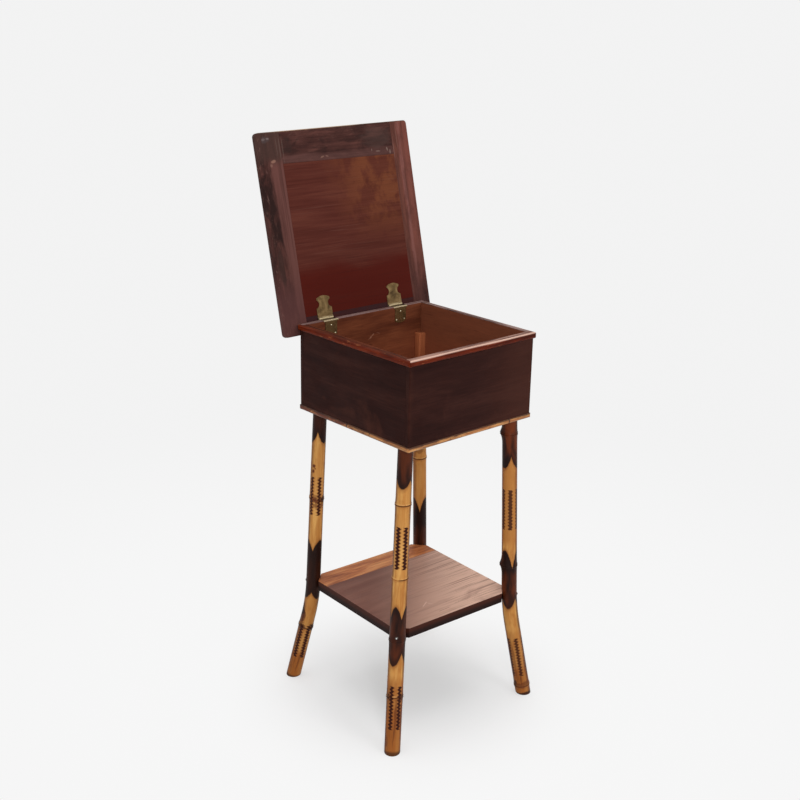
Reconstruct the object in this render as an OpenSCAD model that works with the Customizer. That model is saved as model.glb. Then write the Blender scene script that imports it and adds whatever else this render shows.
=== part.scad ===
// Sewing box on a stand: a square lidded box carried by four bamboo legs that splay below a shelf.
// +X is to the right, +Y to the back where the lid is hinged, +Z up. The floor is z = 0.
// The lid is drawn open, leaning back on the rim, as it rests in use.

/* [Box] */
// Outside width of the box body, left to right
box_w = 305; // [270:5:350]
// Outside depth of the box body, front to back
box_d = 305; // [270:5:350]
// Height of the box body, underside to rim
box_h = 165; // [130:1:220]
// Thickness of the four walls
wall_t = 10; // [8:0.5:13]
// Radius on the upright corners
corner_r = 2.5; // [1:0.5:7]
// Thickness of the bottom board
bottom_t = 8; // [6:0.5:12]
// Height of the moulding round the rim
rim_h = 12; // [9:0.5:16]
// How far the rim moulding stands out from the walls
rim_out = 5; // [3:0.25:5.5]
// Height of the split bamboo bead round the foot of the box
bead_h = 9; // [6:0.5:12]
// How far that bead stands out from the walls
bead_out = 3; // [2:0.25:4]
// Rounding of the rim moulding and the bead at the corners, seen from above
strip_corner_r = 8; // [3:0.5:12]
// Side of the square blocks in the inside corners
post_s = 15; // [11:0.5:20]
// Height of those blocks above the bottom board
post_h = 97; // [60:1:110]

/* [Lid] */
// How far the closed lid passes the rim at each side
lid_side = 25; // [5:1:35]
// How far the closed lid passes the rim in front
lid_front = 37; // [10:1:50]
// How far the lid sits to the left of the middle
lid_shift = 2; // [0:0.5:5]
// How much shorter the lid is along its left edge than along its right
lid_skew = 5.4; // [0:0.2:8]
// How far the lid passes the hinge pin at the back
lid_back = 23; // [14:0.5:28]
// Thickness of the lid frame
lid_t = 14; // [12:0.5:18]
// Width of the left side member of the lid frame
stile_left_w = 53; // [30:1:60]
// Width of the right side member of the lid frame
stile_right_w = 43; // [30:1:60]
// Width of the front rail of the lid frame
rail_front_w = 61; // [30:1:70]
// How far the hinge rail reaches in front of the pin
rail_back_in = 8; // [7.5:0.5:9]
// Thickness of the lid panel
panel_t = 11; // [9:0.5:12]
// Depth of the grooves that hold the panel
groove_d = 7; // [5:0.5:7]
// Thickness of the tongues in those grooves
tongue_t = 4; // [3:0.5:5]
// Room left for the panel at the bottom of each groove
panel_play = 0.5; // [0.2:0.1:1]
// Rounding on the upper edges of the lid
lid_edge_r = 6; // [2:0.5:8]
// Angle at which the open lid leans on the rim, 0 being shut
open_angle = 103.5; // [96:0.5:110]

/* [Hinges] */
// Distance of the middle of each hinge from the side of the box
hinge_in = 65.5; // [60:0.5:85]
// Width of each hinge along its pin
hinge_w = 34; // [30:1:44]
// Thickness of the brass plate
leaf_t = 1; // [0.8:0.1:1.4]
// Space between the two plates when the lid is shut
leaf_gap = 0.2; // [0.1:0.1:0.6]
// Outer radius of the knuckles
knuckle_r = 2.4; // [2.1:0.1:2.8]
// Radius of the hinge pin
pin_r = 1; // [0.8:0.1:1.2]
// Running clearance round the pin in the lid knuckle
pin_clear = 0.05; // [0.02:0.01:0.1]
// Length of the lid knuckle
knuckle_w = 15.4; // [10:0.2:20]
// Clearance between knuckles and what moves past them
hinge_clear = 0.3; // [0.2:0.1:0.5]
// Length of the lid plate, from the pin
lid_leaf_l = 43; // [40:1:50]
// Width of the lid plate at its foot
lid_leaf_w = 36; // [30:1:44]
// Width of the lid plate at its neck
lid_neck_w = 21.5; // [16:0.5:24]
// Width of the lid plate at its head
lid_head_w = 31; // [26:1:34]
// Drop of the box plate inside the back wall
box_leaf_h = 33; // [28:1:40]
// Width of the box plate below its fold
box_leaf_w = 28; // [25:1:34]
// Radius of the round nail heads
nail_head_r = 1.6; // [1.2:0.1:2]
// Height of the nail heads
nail_head_h = 0.9; // [0.6:0.1:1.2]
// Radius of the nail shanks
nail_r = 0.8; // [0.5:0.1:0.9]
// Length of the nail shanks under the head
nail_l = 7; // [5:0.5:7.5]

/* [Legs] */
// Height of the box underside above the floor
stand_h = 580; // [480:1:640]
// Radius of the bamboo at the box
leg_top_r = 13.5; // [12:0.1:15]
// Radius of the bamboo at the bend
leg_bend_r = 14.5; // [13:0.1:16]
// Radius of the bamboo at the floor
leg_foot_r = 14.7; // [13.5:0.1:17]
// Distance of each leg top from the sides of the box
leg_inset = 26; // [24:1:34]
// How far the feet stand out beyond the legs at the shelf
foot_splay = 43; // [35:1:55]
// Distance below the shelf top where the bend turns
bend_drop = 40; // [25:1:55]
// Distance over which the bend runs, each way from where it turns
bend_reach = 38; // [25:1:45]
// How far the ridges at the joints of the bamboo stand out
ridge_out = 1.3; // [0.8:0.1:2]
// How far the leaf buds stand out
bud_out = 4; // [2:0.5:5]
// Radius of the dowels in the leg tops
dowel_r = 8; // [6:0.5:9]
// Depth of the dowels in the legs
dowel_l = 40; // [25:1:60]
// Clearance round the dowels
dowel_clear = 0.1; // [0.05:0.05:0.3]
// Radius of the hollow at the feet
foot_bore_r = 10.5; // [8:0.5:11]
// Depth of the hollow at the feet
foot_bore_l = 45; // [20:1:70]

/* [Shelf] */
// Side of the square shelf
shelf_w = 278; // [255:1:295]
// Height of the shelf top above the floor
shelf_z = 225; // [200:1:280]
// Thickness of the shelf
shelf_t = 20; // [12:0.5:24]
// Angle by which the shelf is turned against the box
shelf_turn = 2.7; // [0:0.1:4]
// Width of the separate board along the back of the shelf
strip_w = 52; // [35:1:90]
// Length of the cut across each corner of the shelf
corner_cut = 32; // [26:1:40]
// Depth to which the legs are let into the cut corners
leg_let_in = 1.2; // [0.6:0.1:2]
// Clearance round the legs in the shelf corners
leg_clear = 0.1; // [0.05:0.05:0.3]
// Radius of the round screw heads on the legs
screw_head_r = 3.3; // [2.6:0.1:4]
// Height of the screw heads
screw_head_h = 2.2; // [1.6:0.1:2.6]
// Radius of the screw shanks
screw_r = 1.8; // [1.2:0.1:2.2]
// Length of screw in the shelf
screw_in = 24; // [15:1:40]
// Depth of the screws below the top of the shelf
screw_down = 7; // [6:0.5:12]

/* [Hidden] */

rim_z = stand_h + box_h;
in_w = box_w / 2 - wall_t;
in_d = box_d / 2 - wall_t;
hinge_x = box_w / 2 - hinge_in;
floor_z = stand_h + bottom_t;

// Hinge pin: far enough back that the open lid stops just short of the rim moulding and the wall
tilt = open_angle - 90;
face_z = leaf_gap / 2 + leaf_t;
pin_z = rim_z + leaf_gap / 2;
rim_r = (rim_h * rim_h / 4 + rim_out * rim_out) / (2 * rim_out);
rim_cy = box_d / 2 + rim_out - rim_r;
rim_cz = rim_z - rim_h / 2;
stop_gap = 0.3;
pin_y_rim = rim_cy + (rim_r + stop_gap - face_z + (pin_z - rim_cz) * sin(tilt)) / cos(tilt);
pin_y_wall = box_d / 2 + stop_gap - face_z * cos(tilt) + lid_back * sin(tilt);
pin_y_knuckle = rim_cy + sqrt(pow(rim_r + knuckle_r + stop_gap, 2) - pow(pin_z - rim_cz, 2));
pin_y = max(pin_y_rim, pin_y_wall, pin_y_knuckle);

// Lid in its own frame: pin at the origin, -y towards the front of the shut lid
lid_w = box_w + 2 * (rim_out + lid_side);
lid_len = pin_y + box_d / 2 + rim_out + lid_front;
skew_angle = atan(lid_skew / lid_w);
field_x0 = stile_left_w - lid_w / 2;
field_x1 = lid_w / 2 - stile_right_w;
field_w = field_x1 - field_x0;
field_len = lid_len - rail_front_w;
tongue_z = face_z + panel_t / 2 - tongue_t / 2;
groove_stop = 14;
knuckle_clear = knuckle_r + hinge_clear;
side_knuckle_w = (hinge_w - knuckle_w) / 2 - hinge_clear;

// Each leg: sides of the box; turn round the middle at the box, the shelf and the floor; how much
// further out the foot stands; how much lower the bend is; extra radius at the box, the bend and the
// floor; joints of the bamboo and leaf buds, as shares of the height of the stand
LEGS = [
    [[-1, -1], [2.1, 3.9, 3.9], 4, 0, [0.1, 0.4, 0.2], [0.815, 0.572, 0.35, 0.184], []],
    [[1, -1], [1.5, 2.8, 2.3], -5, -5, [0.6, 0.4, 0.1], [0.948, 0.484, 0.043], [0.948, 0.484]],
    [[-1, 1], [1.5, 2.8, 3.9], 0, 7, [-0.4, -0.3, -0.3], [0.685, 0.212], []],
    [[1, 1], [0.5, 2.9, 3.0], -3, 0, [-0.2, -0.4, -0.3], [0.728, 0.221], []]];

function top_radius(i) = leg_top_r + LEGS[i][4][0];
function bend_radius(i) = leg_bend_r + LEGS[i][4][1];
function foot_radius(i) = leg_foot_r + LEGS[i][4][2];
function shelf_reach(i) = shelf_w / sqrt(2) - corner_cut / 2 + bend_radius(i) - leg_let_in;
function drop(i) = bend_drop + LEGS[i][3];
function side_angle(i) = atan2(LEGS[i][0][1], LEGS[i][0][0]) - LEGS[i][1][1];

// Leg top and foot seen from the leg's own side: x outward, y across
function top_at(i) =
    let (p = [LEGS[i][0][0] * (box_w / 2 - leg_inset), LEGS[i][0][1] * (box_d / 2 - leg_inset)],
        a = atan2(p[1], p[0]) - LEGS[i][1][0] - side_angle(i))
    norm(p) * [cos(a), sin(a)];
function foot_at(i) =
    let (a = LEGS[i][1][1] - LEGS[i][1][2])
    (shelf_reach(i) + foot_splay + LEGS[i][2]) * [cos(a), sin(a)];

// Lean of the upper length across and inwards
function lean_side(i) = -atan(top_at(i)[1] / (stand_h - shelf_z));
function lean_up(i) = atan((shelf_reach(i) - top_at(i)[0]) / (stand_h - shelf_z) * cos(lean_side(i)));
function bend_at(i) =
    [shelf_reach(i) + drop(i) * sin(lean_up(i)), drop(i) * sin(lean_side(i)) * cos(lean_up(i)),
        shelf_z - drop(i) * cos(lean_side(i)) * cos(lean_up(i))];

// The way from the bend to the foot, first as it lies and then as seen along the upper length
function way_down(i) = [foot_at(i)[0], foot_at(i)[1], 0] - bend_at(i);
function down_side(i) =
    let (w = way_down(i), a = lean_side(i))
    [w[0], cos(a) * w[1] + sin(a) * w[2], cos(a) * w[2] - sin(a) * w[1]];
function down_leg(i) =
    let (w = down_side(i), a = lean_up(i))
    [cos(a) * w[0] + sin(a) * w[2], w[1], cos(a) * w[2] - sin(a) * w[0]];
function bend_turn(i) = atan2(down_leg(i)[1], down_leg(i)[0]);
function bend_angle(i) = atan2(norm([down_leg(i)[0], down_leg(i)[1]]), -down_leg(i)[2]);
function bend_curve(i) = bend_reach / tan(bend_angle(i) / 2);
function up_len(i) = (stand_h - bend_at(i)[2]) / cos(lean_up(i)) / cos(lean_side(i));
function down_len(i) = norm(way_down(i));

// Distance along the leg from the bend for a height above the floor, and the radius there
function along(i, z) =
    let (h = bend_at(i)[2])
    z > h ? (z - h) * up_len(i) / (stand_h - h) : (z - h) * down_len(i) / h;
function mix(a, b, f) = a + (b - a) * f;
function radius_at(i, s) = s > bend_reach
    ? mix(bend_radius(i), top_radius(i), (s - bend_reach) / (up_len(i) - bend_reach))
    : (s > -bend_reach ? bend_radius(i)
        : mix(bend_radius(i), foot_radius(i), (-s - bend_reach) / (down_len(i) - bend_reach)));

screw_z = shelf_z - screw_down;
screw_seat = 0.7;
function screw_x(i) = shelf_reach(i) + screw_down * tan(lean_up(i)) + bend_radius(i) - screw_seat;
function screw_l(i) = screw_x(i) - (shelf_reach(i) - bend_radius(i) + leg_let_in) + screw_in;

dark = [0.13, 0.08, 0.07];
red_wood = [0.36, 0.14, 0.09];
lid_wood = [0.30, 0.17, 0.15];
bamboo = [0.72, 0.47, 0.22];
shelf_wood = [0.52, 0.39, 0.34];
brass = [0.55, 0.46, 0.26];

// Board section with its two outer corners rounded; the outer side is up
module rounded_section(w, t, r) {
    translate([-w / 2, 0])
        square([w, t - r]);
    translate([-w / 2 + r, 0])
        square([w - 2 * r, t]);
    for (k = [-1, 1])
        translate([k * (w / 2 - r), t - r])
            circle(r = r, $fn = 32);
}

// Moulding along the front of the box: a round segment on a flat back, mitred at both ends, with the
// corners rounded off
module edge_strip(len, h, out) {
    r = (h * h / 4 + out * out) / (2 * out);
    c = strip_corner_r;
    intersection() {
        translate([-len / 2 - out, 0, 0])
            rotate([90, 0, 90])
                linear_extrude(len + 2 * out)
                    intersection() {
                        translate([r - out, h / 2])
                            circle(r = r, $fn = 48);
                        translate([-out, 0])
                            square([out, h]);
                    }
        linear_extrude(h)
            polygon([[-len / 2, 0], [len / 2, 0], [len / 2 + out, -out], [-len / 2 - out, -out]]);
        linear_extrude(h) {
            translate([-len / 2 - out, c - out])
                square([len + 2 * out, c]);
            translate([c - len / 2 - out, -out])
                square([len + 2 * (out - c), 2 * c]);
            for (k = [-1, 1])
                translate([k * (len / 2 + out - c), c - out])
                    circle(r = c, $fn = 48);
        }
    }
}

module around_box(side) {
    if (side == "front")
        translate([0, -box_d / 2, 0]) children();
    if (side == "back")
        rotate([0, 0, 180]) translate([0, -box_d / 2, 0]) children();
    if (side == "left")
        rotate([0, 0, -90]) translate([0, -box_w / 2, 0]) children();
    if (side == "right")
        rotate([0, 0, 90]) translate([0, -box_w / 2, 0]) children();
}

module rim(side) {
    color(red_wood)
        translate([0, 0, rim_z - rim_h])
            around_box(side)
                edge_strip(side == "front" || side == "back" ? box_w : box_d, rim_h, rim_out);
}

module base_bead(side) {
    color(bamboo)
        translate([0, 0, stand_h])
            around_box(side)
                edge_strip(side == "front" || side == "back" ? box_w : box_d, bead_h, bead_out);
}

// Long wall with rounded outer corners; the outer face looks to -y
module long_wall() {
    translate([0, -in_d, stand_h])
        linear_extrude(box_h)
            mirror([0, 1])
                rounded_section(box_w, wall_t, corner_r);
}

// Beds for the two hinge plates across the top of the back wall
module leaf_beds() {
    for (k = [-1, 1])
        translate([k * hinge_x - hinge_w / 2 - hinge_clear, in_d - 2, rim_z - leaf_t])
            cube([hinge_w + 2 * hinge_clear, wall_t + rim_out + 4, 2 * leaf_t]);
}

module box_front() {
    color(dark)
        long_wall();
}

module box_back() {
    color(dark)
        difference() {
            rotate([0, 0, 180])
                long_wall();
            leaf_beds();
            for (k = [-1, 1])
                box_nails(k, true);
        }
}

module side_wall(k) {
    color(dark)
        translate([k > 0 ? in_w : -box_w / 2, -in_d, stand_h])
            cube([wall_t, 2 * in_d, box_h]);
}

module box_bottom() {
    color(red_wood)
        difference() {
            translate([-in_w, -in_d, stand_h])
                cube([2 * in_w, 2 * in_d, bottom_t]);
            for (i = [0:3])
                leg_frame(i)
                    dowel(i, dowel_clear);
        }
}

module rim_back() {
    difference() {
        rim("back");
        leaf_beds();
    }
}

// Corner block with its free edge rounded
module post(kx, ky) {
    r = post_s / 4;
    color(red_wood)
        translate([kx * in_w, ky * in_d, floor_z])
            linear_extrude(post_h)
                mirror([kx > 0 ? 1 : 0, 0])
                    mirror([0, ky > 0 ? 1 : 0]) {
                        square([post_s, post_s - r]);
                        square([post_s - r, post_s]);
                        translate([post_s - r, post_s - r])
                            circle(r = r, $fn = 24);
                    }
}

// Places a leg's parts: the origin is where its two straight lengths would meet, z along the upper one
module leg_frame(i) {
    rotate([0, 0, side_angle(i)])
        translate([shelf_reach(i), 0, shelf_z])
            rotate([lean_side(i), 0, 0])
                rotate([0, -lean_up(i), 0])
                    translate([0, 0, -drop(i)])
                        children();
}

// The same for what lies along the lower length
module leg_lower(i) {
    rotate([0, 0, bend_turn(i)])
        rotate([0, -bend_angle(i), 0])
            children();
}

// A place on the leg at a given distance along it from the bend
module on_leg(i, s) {
    if (s > bend_reach)
        translate([0, 0, s]) children();
    else if (s > -bend_reach)
        rotate([0, 0, bend_turn(i)])
            translate([bend_curve(i), 0, bend_reach])
                rotate([0, -bend_angle(i) * (bend_reach - s) / (2 * bend_reach), 0])
                    translate([-bend_curve(i), 0, 0]) children();
    else
        leg_lower(i)
            translate([0, 0, s]) children();
}

// Double ridge round a joint of the bamboo
module ridge(r) {
    rotate_extrude($fn = 32)
        polygon([[r - 3, -6], [r + ridge_out, -1.4], [r + ridge_out * 0.4, 0],
            [r + ridge_out, 1.4], [r - 3, 6]]);
}

// Leaf bud: a low swelling on the inner side of the joint
module bud(r) {
    ball_r = 20;
    intersection() {
        translate([ball_r - r - bud_out, 0, 0])
            sphere(r = ball_r, $fn = 48);
        translate([-r - bud_out - 1, -6.5, -15])
            cube([bud_out + 6, 13, 30]);
    }
}

module dowel(i, clear) {
    translate([0, 0, up_len(i) - dowel_l])
        cylinder(r = dowel_r + clear, h = dowel_l + bottom_t + 10, $fn = 32);
}

module leg(i) {
    extra = 12;
    // The straight lengths start a little inside the bend, a hair thinner than it
    lap = 3;
    step = 0.05;
    color(bamboo)
        difference() {
            leg_frame(i) {
                translate([0, 0, bend_reach - lap])
                    cylinder(r1 = bend_radius(i) - step, r2 = top_radius(i),
                        h = up_len(i) + extra - bend_reach + lap, $fn = 32);
                rotate([0, 0, bend_turn(i)])
                    translate([bend_curve(i), 0, bend_reach])
                        rotate([90, 0, 0])
                            rotate([0, 0, 180])
                                rotate_extrude(angle = bend_angle(i), $fn = 220)
                                    translate([bend_curve(i), 0])
                                        circle(r = bend_radius(i), $fn = 32);
                leg_lower(i)
                    translate([0, 0, -down_len(i) - extra])
                        cylinder(r1 = foot_radius(i), r2 = bend_radius(i) - step,
                            h = down_len(i) + extra - bend_reach + lap, $fn = 32);
                for (share = LEGS[i][5])
                    on_leg(i, along(i, share * stand_h))
                        ridge(radius_at(i, along(i, share * stand_h)));
                for (share = LEGS[i][6])
                    on_leg(i, along(i, share * stand_h))
                        bud(radius_at(i, along(i, share * stand_h)));
            }
            translate([-500, -500, stand_h])
                cube([1000, 1000, 60]);
            translate([-500, -500, -60])
                cube([1000, 1000, 60]);
            leg_frame(i) {
                dowel(i, dowel_clear);
                leg_lower(i)
                    translate([0, 0, -down_len(i) - extra])
                        cylinder(r = foot_bore_r, h = foot_bore_l + extra, $fn = 32);
            }
            at_screw(i) {
                cylinder(r = screw_head_r + 0.3, h = 20, $fn = 32);
                screw_shank(i);
            }
        }
}

// Dowels that carry the box on the legs, flush with the inside of the bottom board
module leg_dowels() {
    color(bamboo)
        for (i = [0:3])
            difference() {
                leg_frame(i)
                    dowel(i, 0);
                translate([-500, -500, floor_z])
                    cube([1000, 1000, 60]);
            }
}

// Carries screw parts to their leg: the head rests on z = 0 and the shank runs down -z into the shelf
module at_screw(i) {
    rotate([0, 0, side_angle(i)])
        translate([screw_x(i), 0, screw_z])
            rotate([0, 90, 0])
                children();
}

module screw_shank(i) {
    translate([0, 0, -screw_l(i)])
        cylinder(r = screw_r, h = screw_l(i), $fn = 24);
}

module shelf_screws() {
    cap_r = (screw_head_r * screw_head_r + screw_head_h * screw_head_h) / (2 * screw_head_h);
    color("dimgray")
        for (i = [0:3])
            at_screw(i) {
                intersection() {
                    translate([0, 0, screw_head_h - cap_r])
                        sphere(r = cap_r, $fn = 32);
                    cylinder(r = screw_head_r + 1, h = screw_head_h + 1, $fn = 32);
                }
                screw_shank(i);
            }
}

module shelf_plan() {
    h = shelf_w / 2;
    c = h - corner_cut / sqrt(2);
    polygon([[h, -c], [h, c], [c, h], [-c, h], [-h, c], [-h, -c], [-c, -h], [c, -h]]);
}

module shelf_part(back) {
    seam = shelf_w / 2 - strip_w;
    color(shelf_wood)
        difference() {
            rotate([0, 0, -shelf_turn])
                translate([0, 0, shelf_z - shelf_t])
                    intersection() {
                        linear_extrude(shelf_t)
                            shelf_plan();
                        translate([-shelf_w, back ? seam : seam - shelf_w * 2, -1])
                            cube([shelf_w * 2, shelf_w * 2, shelf_t + 2]);
                    }
            for (i = [0:3]) {
                leg_frame(i)
                    translate([0, 0, drop(i) - shelf_t - 10])
                        cylinder(r = bend_radius(i) + leg_clear, h = shelf_t + 20, $fn = 48);
                at_screw(i)
                    screw_shank(i);
            }
        }
}

// Carries wooden lid pieces from their own frame to the open lid, and hinge pieces to the pin
module on_lid() {
    on_pin()
        translate([-lid_shift, 0, 0])
            children();
}

module on_pin() {
    translate([0, pin_y, pin_z])
        rotate([-open_angle, 0, 0])
            children();
}

// Whole lid outline with its upper edges rounded on all four sides and its front edge out of square
module lid_blank() {
    long = 2 * lid_len;
    intersection() {
        translate([0, lid_back + 50, face_z])
            rotate([90, 0, 0])
                linear_extrude(long)
                    rounded_section(lid_w, lid_t, lid_edge_r);
        translate([-lid_w, lid_back - long / 2, face_z])
            rotate([90, 0, 90])
                linear_extrude(2 * lid_w)
                    rounded_section(long, lid_t, lid_edge_r);
        translate([0, -lid_len, 0])
            rotate([0, 0, -skew_angle])
                translate([-lid_w, long / 2, face_z])
                    rotate([90, 0, 90])
                        linear_extrude(2 * lid_w)
                            rounded_section(long, lid_t, lid_edge_r);
    }
}

module lid_stile(k) {
    color(lid_wood)
        on_lid()
            difference() {
                intersection() {
                    lid_blank();
                    translate([k > 0 ? field_x1 : field_x0 - lid_w, -2 * lid_len, 0])
                        cube([lid_w, 2 * lid_len + lid_back + 1, 40]);
                }
                translate([field_x0 - groove_d, -lid_len + groove_stop, tongue_z])
                    cube([field_w + 2 * groove_d, lid_len + lid_back - 2 * groove_stop, tongue_t]);
            }
}

// Stub tongues at both ends of a rail that runs from y0 to y1
module rail_tongues(y0, y1) {
    for (x = [field_x0 - groove_d, field_x1])
        translate([x, y0, tongue_z])
            cube([groove_d, y1 - y0, tongue_t]);
}

module rail_bar(y0, y1) {
    intersection() {
        lid_blank();
        translate([field_x0, y0, 0])
            cube([field_w, y1 - y0, 40]);
    }
}

module lid_rail_front() {
    color(lid_wood)
        on_lid()
            difference() {
                union() {
                    rail_bar(-2 * lid_len, -field_len);
                    rail_tongues(-lid_len + groove_stop, -field_len - groove_d);
                }
                translate([field_x0 - 1, -field_len - groove_d, tongue_z])
                    cube([field_w + 2, groove_d + 1, tongue_t]);
            }
}

module lid_rail_back() {
    color(lid_wood)
        on_lid()
            difference() {
                union() {
                    rail_bar(-rail_back_in, lid_back);
                    rail_tongues(-rail_back_in + groove_d, lid_back - groove_stop);
                }
                translate([field_x0 - 1, -rail_back_in - 1, tongue_z])
                    cube([field_w + 2, groove_d + 1, tongue_t]);
                for (k = [-1, 1])
                    translate([k * hinge_x + lid_shift - hinge_w / 2 - 1, 0, 0])
                        rotate([0, 90, 0])
                            cylinder(r = knuckle_clear, h = hinge_w + 2, $fn = 32);
            }
}

// Panel with a tongue on all four sides
module lid_panel() {
    reach = groove_d - panel_play;
    len = field_len - rail_back_in;
    color(red_wood)
        on_lid()
            difference() {
                union() {
                    translate([field_x0, -field_len, face_z])
                        cube([field_w, len, panel_t]);
                    translate([field_x0 - reach, -field_len - reach, tongue_z])
                        cube([field_w + 2 * reach, len + 2 * reach, tongue_t]);
                }
                translate([lid_shift, 0, 0])
                    for (k = [-1, 1])
                        lid_nails(k, true);
            }
}

// Lid plate: square foot at the pin, drawn-in neck and a curved head
module lid_leaf_plan() {
    neck_y = lid_leaf_l - 15;
    scoop_r = 8.2;
    intersection() {
        difference() {
            union() {
                translate([-lid_leaf_w / 2, knuckle_clear])
                    square([lid_leaf_w, neck_y - 4 - knuckle_clear]);
                translate([-lid_head_w / 2, neck_y - 4])
                    square([lid_head_w, 19]);
                translate([-knuckle_w / 2, 0])
                    square([knuckle_w, knuckle_clear + 1]);
            }
            for (k = [-1, 1])
                translate([k * (lid_neck_w / 2 + scoop_r), neck_y])
                    circle(r = scoop_r, $fn = 32);
        }
        translate([0, lid_leaf_l - 30])
            circle(r = 30, $fn = 64);
    }
}

module lid_leaf(k) {
    color(brass)
        on_pin()
            difference() {
                union() {
                    translate([k * hinge_x, 0, leaf_gap / 2])
                        linear_extrude(leaf_t)
                            mirror([0, 1])
                                lid_leaf_plan();
                    translate([k * hinge_x - knuckle_w / 2, 0, 0])
                        rotate([0, 90, 0])
                            cylinder(r = knuckle_r, h = knuckle_w, $fn = 32);
                }
                translate([k * hinge_x - hinge_w, 0, 0])
                    rotate([0, 90, 0])
                        cylinder(r = pin_r + pin_clear, h = 2 * hinge_w, $fn = 24);
                lid_nails(k, true);
            }
}

// Box plate: a drop with a curved foot inside the wall, folded back over the rim to the outer knuckles
module box_leaf(k) {
    foot_r = 23;
    fold = 3;
    color(brass)
        difference() {
            translate([k * hinge_x, 0, 0]) {
                translate([0, in_d, rim_z - box_leaf_h])
                    rotate([90, 0, 0])
                        linear_extrude(leaf_t)
                            intersection() {
                                translate([-box_leaf_w / 2, 0])
                                    square([box_leaf_w, box_leaf_h]);
                                translate([0, foot_r])
                                    union() {
                                        circle(r = foot_r, $fn = 64);
                                        translate([-foot_r, 0])
                                            square([2 * foot_r, box_leaf_h]);
                                    }
                            }
                translate([-hinge_w / 2, in_d - leaf_t, rim_z - fold])
                    cube([hinge_w, leaf_t, fold]);
                translate([-hinge_w / 2, in_d - leaf_t, rim_z - leaf_t])
                    cube([hinge_w, pin_y - in_d + leaf_t - knuckle_clear, leaf_t]);
                for (m = [-1, 1])
                    translate([m > 0 ? hinge_w / 2 - side_knuckle_w : -hinge_w / 2, 0, 0]) {
                        translate([0, in_d, rim_z - leaf_t])
                            cube([side_knuckle_w, pin_y - in_d, leaf_t]);
                        translate([0, pin_y, pin_z])
                            rotate([0, 90, 0])
                                cylinder(r = knuckle_r, h = side_knuckle_w, $fn = 32);
                    }
            }
            hinge_pin_solid(k);
            box_nails(k, true);
        }
}

module hinge_pin_solid(k) {
    translate([k * hinge_x - hinge_w / 2, pin_y, pin_z])
        rotate([0, 90, 0])
            cylinder(r = pin_r, h = hinge_w, $fn = 24);
}

module hinge_pin(k) {
    color(brass)
        hinge_pin_solid(k);
}

// Nail with its shank down -z: a domed head on z = 0, or a flat one let in to it
module nail(domed, hole) {
    cap_r = (nail_head_r * nail_head_r + nail_head_h * nail_head_h) / (2 * nail_head_h);
    if (domed && !hole)
        intersection() {
            translate([0, 0, nail_head_h - cap_r])
                sphere(r = cap_r, $fn = 20);
            translate([-3, -3, 0])
                cube([6, 6, 3]);
        }
    if (!domed)
        translate([0, 0, -leaf_t / 2])
            cylinder(r = nail_head_r, h = leaf_t / 2, $fn = 20);
    translate([0, 0, -nail_l])
        cylinder(r = nail_r, h = nail_l, $fn = 16);
}

// The two nails near the pin have flat heads, because the shut lid brings them over the box plate
module lid_nails(k, hole) {
    for (p = [[0, lid_leaf_l - 4.5, true], [-12, 12, false], [12, 12, false]])
        translate([k * hinge_x + p[0], -p[1], leaf_gap / 2])
            rotate([180, 0, 0])
                nail(p[2], hole);
}

module box_nails(k, hole) {
    for (p = [[0, 10], [-10, 26.5], [10, 26.5]])
        translate([k * hinge_x + p[0], in_d - leaf_t, rim_z - p[1]])
            rotate([90, 0, 0])
                nail(true, hole);
}

module lid_leaf_nails() {
    color(brass)
        on_pin()
            for (k = [-1, 1])
                lid_nails(k, false);
}

module box_leaf_nails() {
    color(brass)
        for (k = [-1, 1])
            box_nails(k, false);
}

box_front();
box_back();
side_wall(-1);  // box_left
side_wall(1);  // box_right
box_bottom();
rim("front");  // rim_front
rim_back();
rim("left");  // rim_left
rim("right");  // rim_right
base_bead("front");  // base_bead_front
base_bead("back");  // base_bead_back
base_bead("left");  // base_bead_left
base_bead("right");  // base_bead_right
post(-1, -1);  // post_front_left
post(1, -1);  // post_front_right
post(-1, 1);  // post_back_left
post(1, 1);  // post_back_right
leg(0);  // leg_front_left
leg(1);  // leg_front_right
leg(2);  // leg_back_left
leg(3);  // leg_back_right
leg_dowels();
shelf_part(false);  // shelf_board
shelf_part(true);  // shelf_back_board
shelf_screws();
lid_stile(-1);  // lid_stile_left
lid_stile(1);  // lid_stile_right
lid_rail_front();
lid_rail_back();
lid_panel();
lid_leaf(-1);  // lid_leaf_left
lid_leaf(1);  // lid_leaf_right
lid_leaf_nails();
box_leaf(-1);  // box_leaf_left
box_leaf(1);  // box_leaf_right
box_leaf_nails();
hinge_pin(-1);  // hinge_pin_left
hinge_pin(1);  // hinge_pin_right
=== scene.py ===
import math
import random

import bpy
from mathutils import Matrix, Vector


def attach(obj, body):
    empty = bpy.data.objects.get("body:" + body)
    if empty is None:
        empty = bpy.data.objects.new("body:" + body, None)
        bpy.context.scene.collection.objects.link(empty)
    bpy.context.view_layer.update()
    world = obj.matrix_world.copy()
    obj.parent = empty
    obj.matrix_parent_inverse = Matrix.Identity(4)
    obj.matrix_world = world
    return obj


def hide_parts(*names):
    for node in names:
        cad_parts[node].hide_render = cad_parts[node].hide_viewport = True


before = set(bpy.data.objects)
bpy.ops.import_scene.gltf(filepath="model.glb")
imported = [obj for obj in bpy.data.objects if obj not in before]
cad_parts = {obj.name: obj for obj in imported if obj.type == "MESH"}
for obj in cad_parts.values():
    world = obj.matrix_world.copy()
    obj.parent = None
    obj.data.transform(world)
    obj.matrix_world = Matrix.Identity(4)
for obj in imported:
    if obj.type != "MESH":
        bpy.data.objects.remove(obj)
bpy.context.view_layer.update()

random.seed(7)
print("frame loaded:", len(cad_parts), "nodes")
view = bpy.context.view_layer


# helpers that add nodes to the tree of the finish that is being made

making = {}


def newNode(kind):
    return making["tree"].nodes.new(kind)


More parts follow.
